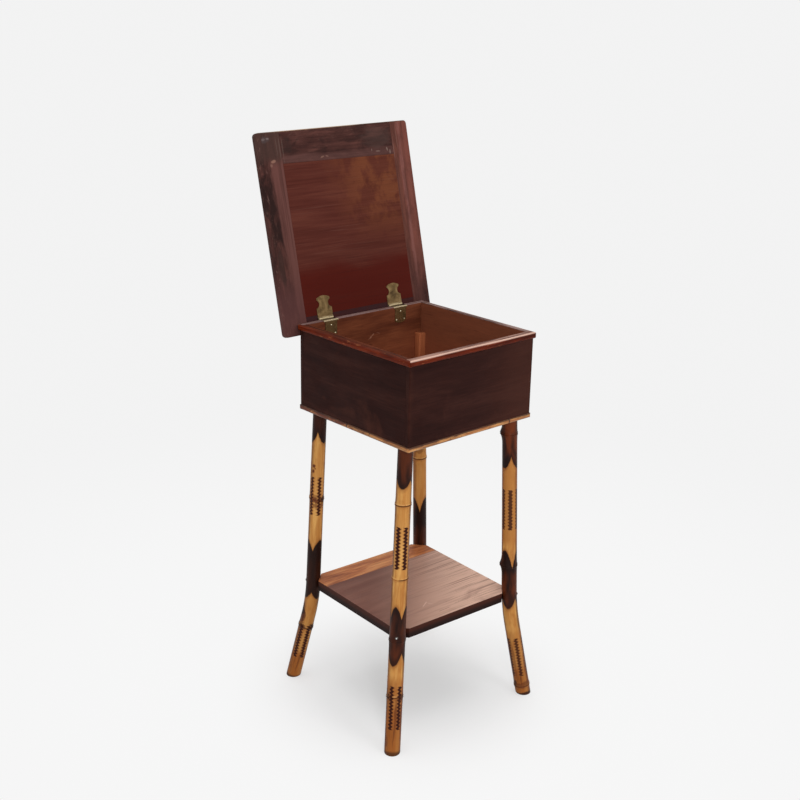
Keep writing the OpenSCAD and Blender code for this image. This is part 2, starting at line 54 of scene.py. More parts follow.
def startFinish(name):
    material = bpy.data.materials.new(name)
    material.use_nodes = True
    making["tree"] = material.node_tree
    return material, material.node_tree.nodes["Principled BSDF"]


def plug(socket, value):
    # a value is either another node's output or a plain number or colour
    if isinstance(value, bpy.types.NodeSocket):
        making["tree"].links.new(value, socket)
    elif hasattr(value, "__len__") and len(value) == 3 and socket.type == "RGBA":
        socket.default_value = (*value, 1)
    else:
        socket.default_value = value


def calc(kind, a, b=None, clamp=False):
    node = newNode("ShaderNodeMath")
    node.operation = kind
    node.use_clamp = clamp
    plug(node.inputs[0], a)
    if b is not None:
        plug(node.inputs[1], b)
    return node.outputs[0]


def plus(a, b):
    return calc("ADD", a, b)


def minus(a, b):
    return calc("SUBTRACT", a, b)


def times(a, b):
    return calc("MULTIPLY", a, b)


def larger(a, b):
    return calc("MAXIMUM", a, b)


def smaller(a, b):
    return calc("MINIMUM", a, b)


def absolute(a):
    return calc("ABSOLUTE", a)


def swung(noise, reach):
    # noise lies round a half: this moves it to lie round nought, and scales it
    return times(minus(noise, 0.5), reach)


def farFrom(parts):
    # how far a point lies from the middle, from its distances along each axis
    squares = [times(part, part) for part in parts]
    total = squares[0]
    for square in squares[1:]:
        total = plus(total, square)
    return calc("SQRT", total)


def blend(factor, a, b):
    node = newNode("ShaderNodeMix")
    node.data_type = "RGBA"
    plug(node.inputs[0], factor)
    plug(node.inputs[6], a)
    plug(node.inputs[7], b)
    return node.outputs[2]


def spread(value, low, high, outLow=0.0, outHigh=1.0, soft=True):
    node = newNode("ShaderNodeMapRange")
    node.interpolation_type = "SMOOTHSTEP" if soft else "LINEAR"
    settings = {"Value": value, "From Min": low, "From Max": high, "To Min": outLow, "To Max": outHigh}
    for name, setting in settings.items():
        plug(node.inputs[name], setting)
    return node.outputs[0]


def cloudy(vector, scale, detail=3.0, rough=0.5, twist=0.0):
    node = newNode("ShaderNodeTexNoise")
    settings = {"Vector": vector, "Scale": scale, "Detail": detail, "Roughness": rough, "Distortion": twist}
    for name, setting in settings.items():
        plug(node.inputs[name], setting)
    return node.outputs[0]


def stretched(vector, size=(1, 1, 1), turn=(0, 0, 0)):
    node = newNode("ShaderNodeMapping")
    plug(node.inputs["Vector"], vector)
    node.inputs["Scale"].default_value = size
    node.inputs["Rotation"].default_value = turn
    return node.outputs[0]


def grain(vector, size, detail=3.0, rough=0.5, twist=0.0):
    # noise that is drawn out along the axes with the small sizes
    return cloudy(stretched(vector, size), 1.0, detail, rough, twist)


def steps(value, stops):
    node = newNode("ShaderNodeValToRGB")
    ramp = node.color_ramp
    while len(ramp.elements) < len(stops):
        ramp.elements.new(0.5)
    for element, (place, colour) in zip(ramp.elements, stops):
        element.position = place
        element.color = (*colour, 1)
    plug(node.inputs[0], value)
    return node.outputs[0]


def split(vector):
    node = newNode("ShaderNodeSeparateXYZ")
    plug(node.inputs[0], vector)
    return node.outputs


def objectPlace():
    return newNode("ShaderNodeTexCoord").outputs["Object"]


def placeAlong(axis):
    # the object's own place, turned where needed so that the first axis runs along the member
    if axis == "x":
        return objectPlace()
    return stretched(objectPlace(), turn=(0, 0, math.radians(-90)))


def raised(shader, height, strength):
    node = newNode("ShaderNodeBump")
    plug(node.inputs["Height"], height)
    node.inputs["Strength"].default_value = strength
    node.inputs["Distance"].default_value = 0.001
    plug(shader.inputs["Normal"], node.outputs[0])


def endFinish(shader, colour, noise, rough, specular, height, strength):
    # the roughness follows the noise between the two values given for it
    plug(shader.inputs["Base Color"], colour)
    plug(shader.inputs["Roughness"], spread(noise, 0.3, 0.7, *rough))
    shader.inputs["Specular IOR Level"].default_value = specular
    raised(shader, height, strength)


def marked(colour, across, along, marks, wander):
    # each mark: where its middle lies, its two half widths, its turn, how strong it is, its colour
    for u0, v0, halfU, halfV, turn, amount, tint in marks:
        du, dv = minus(across, u0), minus(along, v0)
        c, k = math.cos(math.radians(turn)), math.sin(math.radians(turn))
        u = times(plus(times(du, c), times(dv, k)), 1 / halfU)
        v = times(minus(times(dv, c), times(du, k)), 1 / halfV)
        far = plus(farFrom((u, v)), swung(wander, 2.2))
        colour = blend(spread(far, 0.55, 1.1, amount, 0), colour, tint)
    return colour


# camera, floor and light

cameraLook = {
    "place": (-1.4882, -1.6161, 1.3296),
    "azimuth": -41.92,
    "elevation": 18.26,
    "roll": 1.13,
    "lens": 55.52,
    "sensor": 36,
    "clip": 40,
}


def placeCamera(look):
    az, el, roll = (math.radians(look[k]) for k in ("azimuth", "elevation", "roll"))
    ahead = Vector((-math.sin(az) * math.cos(el), math.cos(az) * math.cos(el), -math.sin(el)))
    right = Vector((math.cos(az), math.sin(az), 0))
    up = right.cross(ahead)
    side = right * math.cos(roll) + up * math.sin(roll)
    top = up * math.cos(roll) - right * math.sin(roll)
    turn = Matrix((side, top, -ahead)).transposed()
    bpy.ops.object.camera_add()
    camera = bpy.context.object
    camera.name = "camera"
    camera.matrix_world = Matrix.Translation(look["place"]) @ turn.to_4x4()
    camera.data.sensor_width = look["sensor"]
    camera.data.lens = look["lens"]
    camera.data.clip_end = look["clip"]
    bpy.context.scene.camera = camera


lampLook = {
    "roof": {"place": (0.0, 0.0, 3.1), "aim": (0, 0, 0.3), "size": 2.0, "power": 12},
    "nearCamera": {"place": (-2.0, -2.6, 2.0), "aim": (0, 0, 0.55), "size": 0.8, "power": 27},
    "rightFront": {"place": (0.3, -3.3, 1.9), "aim": (0, 0, 0.5), "size": 1.2, "power": 20},
}
roomLook = {"light": 0.8, "backdrop": 0.893, "floor": 0.88, "rough": 0.9, "size": 14, "glow": 0.1,
            "glowLevel": 0.925, "clearFrom": 0.05, "clearTo": 0.4, "levelFrom": 0.5, "levelTo": 1.8}


def placeLamps(lamps):
    for name, lamp in lamps.items():
        aim = Vector(lamp["aim"]) - Vector(lamp["place"])
        bpy.ops.object.light_add(type="AREA", location=lamp["place"])
        light = bpy.context.object
        light.name = name
        light.rotation_euler = aim.to_track_quat("-Z", "Y").to_euler()
        light.data.size = lamp["size"]
        light.data.energy = lamp["power"]


def makeRoom(look):
    world = bpy.data.worlds.new("studio")
    bpy.context.scene.world = world
    world.use_nodes = True
    making["tree"] = world.node_tree
    ground = world.node_tree.nodes["Background"]
    ray = newNode("ShaderNodeLightPath").outputs
    seen = larger(ray["Is Camera Ray"], ray["Is Glossy Ray"])
    ground.inputs["Color"].default_value = (1, 1, 1, 1)
    plug(ground.inputs["Strength"], spread(seen, 0, 1, look["light"], look["backdrop"], soft=False))

    bpy.ops.mesh.primitive_plane_add(size=look["size"], location=(0, 0, 0))
    floor = bpy.context.object
    floor.name = "floor"
    material, shader = startFinish("palePaper")
    shader.inputs["Base Color"].default_value = (look["floor"],) * 3 + (1,)
    shader.inputs["Roughness"].default_value = look["rough"]
    shader.inputs["Specular IOR Level"].default_value = 0.0
    x, y, _ = split(objectPlace())
    far = farFrom((x, y))
    fade = spread(far, look["clearFrom"], look["clearTo"])
    camera = newNode("ShaderNodeLightPath").outputs["Is Camera Ray"]
    glow = newNode("ShaderNodeEmission")
    level = spread(far, look["levelFrom"], look["levelTo"], look["glowLevel"], look["backdrop"])
    plug(glow.inputs["Strength"], level)
    add = newNode("ShaderNodeMixShader")
    share = plus(look["glow"], times(fade, 1 - look["glow"]))
    plug(add.inputs[0], times(share, camera))
    plug(add.inputs[1], shader.outputs[0])
    plug(add.inputs[2], glow.outputs[0])
    plug(material.node_tree.nodes["Material Output"].inputs["Surface"], add.outputs[0])
    floor.data.materials.append(material)


bpy.ops.object.select_all(action="DESELECT")
placeCamera(cameraLook)
placeLamps(lampLook)
makeRoom(roomLook)
bpy.context.scene.view_settings.view_transform = "Standard"
print("camera, lamps and floor are in place")


# finishes of the wooden parts

def woodColour(place, look):
    # the grain runs along the first axis of the place
    broad = grain(place, look["broad"], 4, 0.55, 1.1)
    fibre = grain(place, look["fibre"], 5, 0.62, 0.2)
    mixed = plus(times(broad, 0.62), times(fibre, 0.38))
    return steps(mixed, [(0.34, look["dark"]), (0.5, look["middle"]), (0.66, look["light"])]), fibre


def poreMarks(place, size, low=0.6, high=0.72):
    return spread(grain(place, size, 3, 0.6), low, high)


boxLook = {
    "outside": {"dark": (0.015, 0.0042, 0.0034), "middle": (0.023, 0.0068, 0.0053),
                "light": (0.037, 0.012, 0.0088), "broad": (5, 22, 22), "fibre": (22, 420, 420)},
    "inside": {"dark": (0.055, 0.013, 0.007), "middle": (0.105, 0.028, 0.013), "light": (0.18, 0.053, 0.023),
               "broad": (5, 26, 26), "fibre": (20, 380, 380)},
    "lighterInside": (0.27, 0.088, 0.045),
    "lowInside": (0.3, 0.085, 0.038),
    "pore": (0.03, 0.008, 0.005),
    "worn": (0.075, 0.024, 0.015),
    "outer": 0.1478,
    "rimHeight": 0.745,
    "marks": {"back": ((0.014, 0.6965, 0.0085, 0.0015, 38, 0.42, (0.4, 0.2, 0.13)),
                       (0.01, 0.6925, 0.006, 0.0012, 20, 0.35, (0.34, 0.16, 0.1)),
                       (0.03, 0.7, 0.004, 0.0008, -20, 0.3, (0.36, 0.17, 0.11)))},
}


def boxFinish(name, side, along, look, edgeDark, edgePale, lighterInside):
    # one finish for a whole wall: dark polish outside, warm wood inside, its own wear and painted sheen on
    # the top edge
    material, shader = startFinish(name)
    place = placeAlong(along)
    x, y, z = split(objectPlace())
    outside = calc("GREATER_THAN", larger(absolute(x), absolute(y)), look["outer"])
    onTop = spread(z, look["rimHeight"] - 0.0016, look["rimHeight"] - 0.0004)
    darkWood, fibre = woodColour(place, look["outside"])
    warmWood, _ = woodColour(place, look["inside"])
    # each wall's inside is made lighter by its own amount
    warmWood = blend(lighterInside, warmWood, look["lighterInside"])
    warmWood = blend(spread(z, 0.645, 0.705, 0.45, 0), warmWood, look["lowInside"])
    pores = poreMarks(place, (40, 900, 900))
    warmWood = blend(times(pores, 0.45), warmWood, look["pore"])
    # hand-worn upright corners and a few rubbed places show the red wood under the polish
    corner = spread(smaller(absolute(x), absolute(y)), 0.14, 0.152)
    corner = times(corner, spread(cloudy(place, 45.0, 4, 0.65), 0.4, 0.6, 0.05, 0.22))
    rubbed = spread(cloudy(place, 9.0, 4, 0.6, 0.6), 0.54, 0.7)
    rubbed = larger(rubbed, times(spread(x, 0.0, 0.13), 0.75))
    darkWood = blend(larger(corner, times(rubbed, 0.4)), darkWood, look["worn"])
    warmWood = marked(warmWood, x, z, look["marks"].get(side, ()), cloudy(place, 240.0, 3, 0.6))
    colour = blend(outside, warmWood, darkWood)
    # the top edge mixes a dark and a pale colour in patches: partly wear, partly painted sheen
    scuffAndSheen = spread(grain(place, (12, 160, 160), 4, 0.6), 0.38, 0.56)
    colour = blend(onTop, colour, blend(scuffAndSheen, edgeDark, edgePale))
    height = plus(times(fibre, 0.4), pores)
    endFinish(shader, colour, cloudy(place, 30.0, 3), (0.38, 0.55), 0.035, height, 0.12)
    return material


def insideFinish(name, turn=(0, 0, 0), tint=None):
    material, shader = startFinish(name)
    place = stretched(objectPlace(), turn=turn)
    colour, fibre = woodColour(place, {**boxLook["inside"], **(tint or {})})
    pores = poreMarks(place, (40, 900, 900))
    colour = blend(times(pores, 0.45), colour, boxLook["pore"])
    endFinish(shader, colour, fibre, (0.45, 0.6), 0.12, fibre, 0.12)
    return material


rimLook = {
    "wood": {"dark": (0.028, 0.0045, 0.002), "middle": (0.086, 0.01, 0.0028), "light": (0.18, 0.026, 0.006),
             "broad": (9, 70, 70), "fibre": (24, 600, 600)},
    "worn": (0.6, 0.39, 0.31),
    "chip": (0.34, 0.12, 0.042),
    "under": (0.02, 0.008, 0.006),
    "height": 0.745,
}


def rimFinish(name, along, look, topWearAndSheen):
    material, shader = startFinish(name)
    place = placeAlong(along)
    _, _, z = split(objectPlace())
    colour, fibre = woodColour(place, look["wood"])
    chips = spread(cloudy(stretched(place, (0.7, 2.0, 2.0)), 85.0, 4, 0.65), 0.62, 0.68)
    colour = blend(times(chips, 0.4), colour, look["chip"])
    patchy = grain(place, (9, 60, 60), 4, 0.6)
    # the top is painted pale in patches: partly wear, partly painted sheen
    top = spread(plus(z, times(patchy, 0.0026)), look["height"] - 0.0016, look["height"] + 0.0004)
    colour = blend(times(top, topWearAndSheen), colour, look["worn"])
    # the lower band of the bead is painted dark: painted shade under the bead
    low = spread(z, look["height"] - 0.0118, look["height"] - 0.0095, 1, 0)
    colour = blend(times(low, 0.7), colour, look["under"])
    endFinish(shader, colour, fibre, (0.34, 0.5), 0.05, minus(fibre, times(chips, 0.5)), 0.25)
    return material


beadLook = {
    "pale": (0.5, 0.245, 0.085),
    "orange": (0.3, 0.1, 0.03),
    "brown": (0.125, 0.041, 0.018),
    "red": (0.11, 0.028, 0.014),
    "black": (0.035, 0.012, 0.008),
    "height": 0.58,
}


def beadFinish(name, look, bead):
    # split bamboo: pale skin, brown streaks, dark marks at the joints, stained red over part of its length
    material, shader = startFinish(name)
    place = placeAlong(bead["along"])
    x, _, z = split(place)
    streak = grain(place, (22, 260, 260), 4, 0.6, 0.3)
    colour = blend(spread(streak, 0.38, 0.62), look["orange"], look["pale"])
    wash = grain(place, (30, 90, 90), 4, 0.6, 0.8)
    stains = grain(place, (16, 130, 130), 5, 0.7, 0.6)
    toEnd = spread(x, -0.12, 0.12, 0.75, 0.25, soft=False)
    colour = blend(times(spread(stains, 0.46, 0.58), toEnd), colour, look["brown"])
    red = spread(plus(x, times(wash, 0.1)), bead["redFrom"], bead["redTo"])
    colour = blend(times(red, spread(wash, 0.38, 0.52)), colour, look["red"])
    speck = spread(cloudy(place, 160.0, 3, 0.6), 0.6, 0.68)
    colour = blend(times(speck, 0.7), colour, look["black"])
    for joint in bead["joints"]:
        near = absolute(minus(x, joint))
        colour = blend(spread(near, 0.0008, 0.0024, 0.9, 0), colour, look["black"])
    # the ragged black line along the upper edge is painted shadow where the bead meets the wall; the lower
    # edge is darkened too
    low = spread(z, look["height"] + 0.0004, look["height"] + 0.0022, 0.8, 0)
    high = spread(plus(z, times(stains, 0.003)), look["height"] + 0.0078, look["height"] + 0.0094)
    colour = blend(larger(low, times(high, 0.85)), colour, look["black"])
    endFinish(shader, colour, wash, (0.34, 0.5), 0.2, streak, 0.1)
    return material


# shelf finishes

shelfLook = {
    "board": {"dark": (0.135, 0.048, 0.033), "middle": (0.175, 0.07, 0.049), "light": (0.22, 0.095, 0.068),
              "broad": (3.2, 20, 20), "fibre": (11, 300, 300)},
    "strip": {"dark": (0.2, 0.05, 0.017), "middle": (0.45, 0.155, 0.056), "light": (0.7, 0.33, 0.125),
              "broad": (9, 40, 40), "fibre": (20, 300, 300)},
    "pore": (0.05, 0.018, 0.014),
    "bare": (0.8, 0.52, 0.395),
    "ray": (0.13, 0.055, 0.042),
    "line": (0.16, 0.075, 0.055),
    "edge": (0.011, 0.0024, 0.0014),
    "edgeRed": (0.042, 0.0085, 0.0038),
    "marks": ((-0.033, -0.084, 0.013, 0.0013, 32, 0.7, (0.66, 0.44, 0.35)),
              (-0.024, -0.088, 0.008, 0.0013, -60, 0.6, (0.6, 0.4, 0.32)),
              (-0.018, -0.122, 0.02, 0.0009, 3, 0.5, (0.07, 0.026, 0.019)),
              (0.05, -0.112, 0.034, 0.0009, 3, 0.5, (0.07, 0.03, 0.022)),
              (0.085, -0.098, 0.026, 0.0009, 2, 0.45, (0.09, 0.04, 0.028)),
              (0.02, -0.1, 0.026, 0.0008, 2, 0.4, (0.09, 0.04, 0.028)),
              (0.065, -0.08, 0.025, 0.0008, 2, 0.35, (0.1, 0.045, 0.032))),
    "top": 0.225,
    "turn": 2.7,
}


def shelfFinish(name, kind, look):
    material, shader = startFinish(name)
    place = stretched(objectPlace(), turn=(0, 0, math.radians(look["turn"])))
    x, y, z = split(place)
    colour, fibre = woodColour(place, look[kind])
    pores = poreMarks(place, (26, 700, 700), 0.58, 0.7)
    colour = blend(times(pores, 0.35), colour, look["pore"])
    if kind == "board":
        # paler and pinker towards the right front: painted sheen
        toRight = spread(minus(x, times(y, 0.8)), -0.12, 0.2)
        pale = times(toRight, spread(grain(place, (7, 16, 16), 4, 0.6, 0.5), 0.1, 0.46))
        colour = blend(times(pale, 0.9), colour, look["bare"])
        rays = grain(place, (5, 95, 95), 4, 0.6, 0.9)
        colour = blend(times(spread(rays, 0.52, 0.62), 0.22), colour, look["ray"])
        lines = grain(place, (4, 330, 330), 2, 0.5, 0.6)
        lines = times(spread(lines, 0.56, 0.62), spread(x, -0.02, 0.08))
        colour = blend(times(lines, 0.55), colour, look["line"])
        colour = marked(colour, x, y, look["marks"], cloudy(place, 240.0, 3, 0.6))
    # the edges are painted near black, redder towards the top: partly dark stain, partly painted shade
    onEdge = spread(z, look["top"] - 0.0012, look["top"] - 0.0004, 1, 0)
    redder = spread(z, look["top"] - 0.015, look["top"] - 0.004)
    colour = blend(onEdge, colour, blend(redder, look["edge"], look["edgeRed"]))
    endFinish(shader, colour, fibre, (0.36, 0.5), 0.09, minus(fibre, times(pores, 0.6)), 0.12)
    return material


# lid finishes: their places are in the lid's own frame, the pin at its origin

lidLook = {
    "pin": (0, 0.158315, 0.7451),
    "open": 103.5,
    "fieldLeft": -0.1315,
    "fieldRight": 0.1375,
    "length": 0.3528,
    "slope": 0.0148,
    "rail": 0.061,
    "frame": {"dark": (0.026, 0.0085, 0.0075), "middle": (0.058, 0.021, 0.017),
              "light": (0.105, 0.039, 0.031), "broad": (7, 30, 30), "fibre": (16, 330, 330)},
    "field": {"dark": (0.056, 0.0125, 0.0085), "middle": (0.078, 0.019, 0.0132),
              "light": (0.104, 0.029, 0.019), "broad": (2.6, 30, 30), "fibre": (8, 300, 300)},
    "fieldRed": (0.066, 0.0062, 0.0035),
    "fieldOrange": (0.155, 0.047, 0.02),
    "fieldLine": (0.17, 0.075, 0.055),
    "fieldPore": (0.03, 0.008, 0.007),
    "mauve": (0.112, 0.043, 0.036),
    "black": (0.019, 0.008, 0.007),
    "lowRed": (0.098, 0.038, 0.036),
    "red": (0.135, 0.045, 0.031),
    "brightRed": (0.185, 0.058, 0.042),
    "pink": (0.195, 0.078, 0.066),
    "darkRed": (0.065, 0.022, 0.017),
    "strip": (0.105, 0.046, 0.04),
    "fleck": (0.175, 0.098, 0.08),
    "grey": (0.048, 0.027, 0.022),
    "plum": (0.034, 0.012, 0.013),
    "backRed": (0.045, 0.0095, 0.007),
    "edge": (0.055, 0.03, 0.023),
    "bare": (0.4, 0.27, 0.18),
    "flecks": {"left": 0.32, "right": 0.15, "front": 0.15},
    "marks": {
        "left": ((-0.163, 0.337, 0.011, 0.006, 8, 0.6, (0.062, 0.044, 0.044)),
                 # the next two marks are painted glints on the scuff at the corner
                 (-0.159, 0.3385, 0.0044, 0.002, 0, 0.38, (0.26, 0.2, 0.19)),
                 (-0.168, 0.3375, 0.004, 0.002, 10, 0.3, (0.22, 0.17, 0.165)),
                 (-0.141, 0.322, 0.001, 0.024, 0, 0.28, (0.15, 0.11, 0.09)),
                 (-0.153, 0.297, 0.007, 0.0032, 12, 0.55, (0.3, 0.155, 0.11)),
                 (-0.158, 0.29, 0.0034, 0.0044, 0, 0.4, (0.24, 0.13, 0.095)),
                 (-0.1345, 0.32, 0.0015, 0.03, 0, 0.25, (0.15, 0.1, 0.085)),
                 (-0.176, 0.232, 0.002, 0.012, 4, 0.25, (0.16, 0.1, 0.085)),
                 (-0.168, 0.105, 0.008, 0.045, 0, 0.45, (0.018, 0.013, 0.011))),
        "right": ((0.15, 0.32, 0.001, 0.03, 0, 0.4, (0.2, 0.1, 0.08)),
                  (0.1395, 0.3, 0.0009, 0.02, 0, 0.5, (0.22, 0.12, 0.1))),
        "front": ((0.098, 0.327, 0.042, 0.024, 0, 0.4, (0.068, 0.04, 0.034)),
                  (-0.118, 0.322, 0.012, 0.022, 0, 0.4, (0.024, 0.014, 0.012)),
                  (0.122, 0.303, 0.0018, 0.0048, 18, 0.5, (0.24, 0.17, 0.14)),
                  (0.129, 0.297, 0.0017, 0.0052, -6, 0.5, (0.24, 0.17, 0.14)),
                  (0.098, 0.3, 0.006, 0.0015, 0, 0.4, (0.24, 0.16, 0.13)),
                  (0.083, 0.303, 0.0009, 0.003, 0, 0.7, (0.24, 0.16, 0.13)),
                  (-0.04, 0.298, 0.0065, 0.0022, 20, 0.45, (0.26, 0.14, 0.1)),
                  (-0.028, 0.299, 0.0045, 0.0018, -20, 0.4, (0.24, 0.13, 0.1)),
                  (-0.128, 0.318, 0.0014, 0.027, 0, 0.28, (0.14, 0.1, 0.08))),
    },
}


def lidPlace(look):
    node = newNode("ShaderNodeMapping")
    node.vector_type = "TEXTURE"
    plug(node.inputs["Vector"], objectPlace())
    node.inputs["Location"].default_value = look["pin"]
    node.inputs["Rotation"].default_value = (math.radians(-look["open"]), 0, 0)
    return node.outputs[0]


def fieldFinish(name, look):
    material, shader = startFinish(name)
    place = lidPlace(look)
    x, y, z = split(place)
    colour, fibre = woodColour(place, look["field"])
    wash = grain(place, (6, 9, 9), 4, 0.6, 0.4)
    up = times(y, -1)
    # the inner face is a deep red near the box, duller above, orange towards the upper right
    innerFace = spread(z, 0.0045, 0.0065, 1, 0)
    deep = times(spread(plus(up, swung(wash, 0.06)), 0.08, 0.113, 1, 0), innerFace)
    colour = blend(times(deep, 0.85), colour, look["fieldRed"])
    upperRight = times(spread(plus(x, times(up, 0.25)), 0.0, 0.14), spread(up, 0.11, 0.22))
    blocks = grain(place, (22, 17, 17), 5, 0.6, 0.2)
    orange = times(times(upperRight, spread(blocks, 0.4, 0.56, 0.2, 1)), innerFace)
    colour = blend(times(orange, 0.75), colour, look["fieldOrange"])
    lines = grain(place, (6, 420, 420), 2, 0.5, 0.1)
    lines = times(spread(lines, 0.64, 0.7), spread(up, 0.09, 0.14))
    colour = blend(times(lines, 0.17), colour, look["fieldLine"])
    pores = poreMarks(place, (14, 640, 640), 0.56, 0.7)
    colour = blend(times(pores, 0.3), colour, look["fieldPore"])
    endFinish(shader, colour, fibre, (0.4, 0.55), 0.03, minus(fibre, times(pores, 0.5)), 0.1)
    return material


def frameFinish(name, kind, look):
    # kind says which member it is, because each has worn in its own way
    material, shader = startFinish(name)
    lid = lidPlace(look)
    x, y, z = split(lid)
    place = lid if kind in ("front", "back") else stretched(lid, turn=(0, 0, math.radians(90)))
    colour, fibre = woodColour(place, look["frame"])
    wash = grain(place, (14, 34, 34), 5, 0.65, 0.8)
    grime = spread(grain(place, (15, 38, 38), 5, 0.68, 0.7), 0.42, 0.62)
    ragged = swung(grain(place, (11, 60, 60), 4, 0.65), 0.022)
    drawn = grain(place, (5, 170, 170), 3, 0.6, 0.2)
    up = times(y, -1)
    across = plus(x, ragged)
    if kind == "left":
        # the pale strip widens towards the front of the lid
        across = plus(across, times(minus(up, 0.14), 0.06))
        inner = spread(across, look["fieldLeft"] - 0.028, look["fieldLeft"] - 0.017)
        lit = times(spread(up, 0.0, 0.13, 0.75, 1), spread(up, 0.292, 0.306, 1, 0.1))
        lit = times(lit, spread(drawn, 0.34, 0.54, 0.45, 1))
        colour = blend(times(inner, lit), colour, look["mauve"])
        outer = spread(across, look["fieldLeft"] - 0.028, look["fieldLeft"] - 0.02, 1, 0)
        worst = spread(up, 0.06, 0.11, 0.15, 0.95)
        colour = blend(times(times(outer, grime), worst), colour, look["black"])
        colour = blend(spread(up, 0.03, 0.11, 0.55, 0), colour, look["lowRed"])
        colour = blend(times(spread(plus(up, ragged), 0.286, 0.308), 0.6), colour, look["grey"])
    elif kind == "right":
        # towards the top and its outer edge the stile is painted lighter and redder: painted light and sheen
        upper = spread(plus(up, times(wash, 0.08)), 0.03, 0.2)
        outer = spread(across, look["fieldRight"] + 0.006, look["fieldRight"] + 0.018)
        colour = blend(times(upper, 0.75), colour, blend(outer, look["red"], look["brightRed"]))
        toLine = absolute(minus(across, look["fieldRight"] + 0.019))
        line = times(spread(toLine, 0.0012, 0.005, 0.6, 0), spread(up, 0.0, 0.08))
        colour = blend(line, colour, look["pink"])
        colour = blend(times(spread(drawn, 0.5, 0.62), 0.5), colour, look["darkRed"])
        colour = blend(times(grime, 0.35), colour, look["frame"]["dark"])
    elif kind == "front":
        # the strip beside the field is paler, the rest is dark and mottled
        field = look["length"] - look["rail"]
        inner = spread(plus(up, ragged), field + 0.009, field + 0.019, 1, 0)
        colour = blend(times(inner, spread(drawn, 0.34, 0.58, 0.32, 0.6)), colour, look["strip"])
        colour = blend(times(grime, spread(inner, 0, 1, 0.62, 0.25)), colour, look["black"])
    else:
        # the back rail is painted dark plum and red: painted shade and reflection
        colour = blend(times(spread(wash, 0.4, 0.6), 0.6), look["plum"], look["backRed"])
    if kind in look["flecks"]:
        ends = larger(spread(absolute(x), 0.16, 0.18), spread(up, 0.31, 0.348))
        flecks = spread(grain(place, (75, 260, 260), 3, 0.7, 1.0), 0.6, 0.67)
        many = plus(times(ends, look["flecks"][kind]), 0.06)
        colour = blend(times(flecks, many), colour, look["fleck"])
    # single marks are on the inner face only
    shown = marked(colour, x, up, look["marks"].get(kind, ()), wash)
    colour = blend(spread(z, 0.0035, 0.006, 1, 0), colour, shown)
    # the narrow front edge, with a pale line along its corner with the inner face
    toEdge = minus(up, times(x, look["slope"]))
    onEdge = spread(toEdge, look["length"] - 0.0018, look["length"] - 0.0005)
    bare = spread(plus(z, times(ragged, 0.1)), 0.0026, 0.0042, 1, 0)
    bare = times(bare, spread(absolute(plus(x, 0.045)), 0.07, 0.12, 0.9, 0.15))
    colour = blend(onEdge, colour, blend(bare, look["edge"], look["bare"]))
    endFinish(shader, colour, wash, (0.42, 0.6), 0.055, plus(fibre, times(wash, 0.8)), 0.2)
    return material


# metal

def metalFinish(name, look):
    material, shader = startFinish(name)
    place = objectPlace()
    x, y, z = split(place)
    spots = cloudy(place, 70.0, 5, 0.6, 0.4)
    colour = steps(spots, [(0.3, look["dark"]), (0.5, look["middle"]), (0.74, look["bright"])])
    shader.inputs["Metallic"].default_value = 0.85
    if "knuckle" in look:
        # rubbed bright at the height of the knuckles: partly wear, partly a painted highlight
        near = absolute(minus(z, look["knuckle"]))
        colour = blend(spread(near, 0.0012, 0.0026, 0.7, 0), colour, look["rubbed"])
    if "slot" in look:
        # painted shade in the box plate's fold, between painted highlights on its two edges; the front one
        # is dulled to show pale
        low, high = look["slot"]
        bend = times(spread(y, low - 0.0004, low + 0.0004, 1, 0), spread(z, 0.7434, 0.744))
        colour = blend(bend, colour, look["rubbed"])
        plug(shader.inputs["Metallic"], spread(bend, 0, 1, 0.85, 0.25))
        slot = times(spread(y, low, low + 0.0008), spread(y, high - 0.0008, high, 1, 0))
        slot = times(slot, calc("GREATER_THAN", z, 0.7442))
        colour = blend(times(slot, 0.9), colour, look["shade"])
    if "glint" in look:
        # a painted glint in the middle of the head of the nearest screw
        far = farFrom([minus(axis, at) for axis, at in zip((x, y, z), look["glint"])])
        size = look["glintSize"]
        colour = blend(spread(far, size * 0.5, size, 1, 0), colour, look["glintColour"])
    endFinish(shader, colour, spots, (0.5, 0.3), 0.5, cloudy(place, 420.0, 4, 0.6), 0.15)
    return material


brassLook = {"dark": (0.06, 0.034, 0.013), "middle": (0.165, 0.102, 0.04), "bright": (0.3, 0.2, 0.088),
             "rubbed": (0.62, 0.5, 0.3), "knuckle": 0.7462}
boxBrassLook = {"dark": (0.085, 0.05, 0.02), "middle": (0.25, 0.16, 0.066), "bright": (0.4, 0.275, 0.125),
                "rubbed": (0.66, 0.54, 0.34), "knuckle": 0.7452, "slot": (0.145, 0.1556),
                "shade": (0.035, 0.02, 0.009)}
nailLook = {"dark": (0.4, 0.33, 0.2), "middle": (0.68, 0.6, 0.42), "bright": (0.85, 0.78, 0.6)}
steelLook = {"dark": (0.02, 0.017, 0.015), "middle": (0.05, 0.045, 0.041), "bright": (0.12, 0.11, 0.1),
             "glint": (-0.159, -0.1387, 0.2182), "glintSize": 0.0016, "glintColour": (0.74, 0.72, 0.69)}


# bamboo of the legs, its heights and widths in millimetres

bambooLook = {
    "pale": (0.6, 0.318, 0.092),
    "tan": (0.43, 0.185, 0.044),
    "orange": (0.27, 0.083, 0.016),
    "brown": (0.1, 0.03, 0.008),
    "grimed": (0.075, 0.019, 0.007),
    "joint": (0.055, 0.016, 0.006),
    "lip": (0.7, 0.4, 0.15),
    "scorch": (0.014, 0.005, 0.0035),
    "scorchRed": (0.125, 0.026, 0.007),
    "toasted": (0.2, 0.062, 0.016),
    "line": (0.03, 0.0055, 0.0024),
    "foot": (0.045, 0.014, 0.006),
    "radius": 14.3,
}


def scallop(around, count, middle):
    # 1 at the tip of each tongue of the scorch, 0 where two tongues meet
    turn = times(minus(around, math.radians(middle)), count / 2)
    return calc("POWER", larger(absolute(calc("COSINE", turn)), 0.001), 0.85)


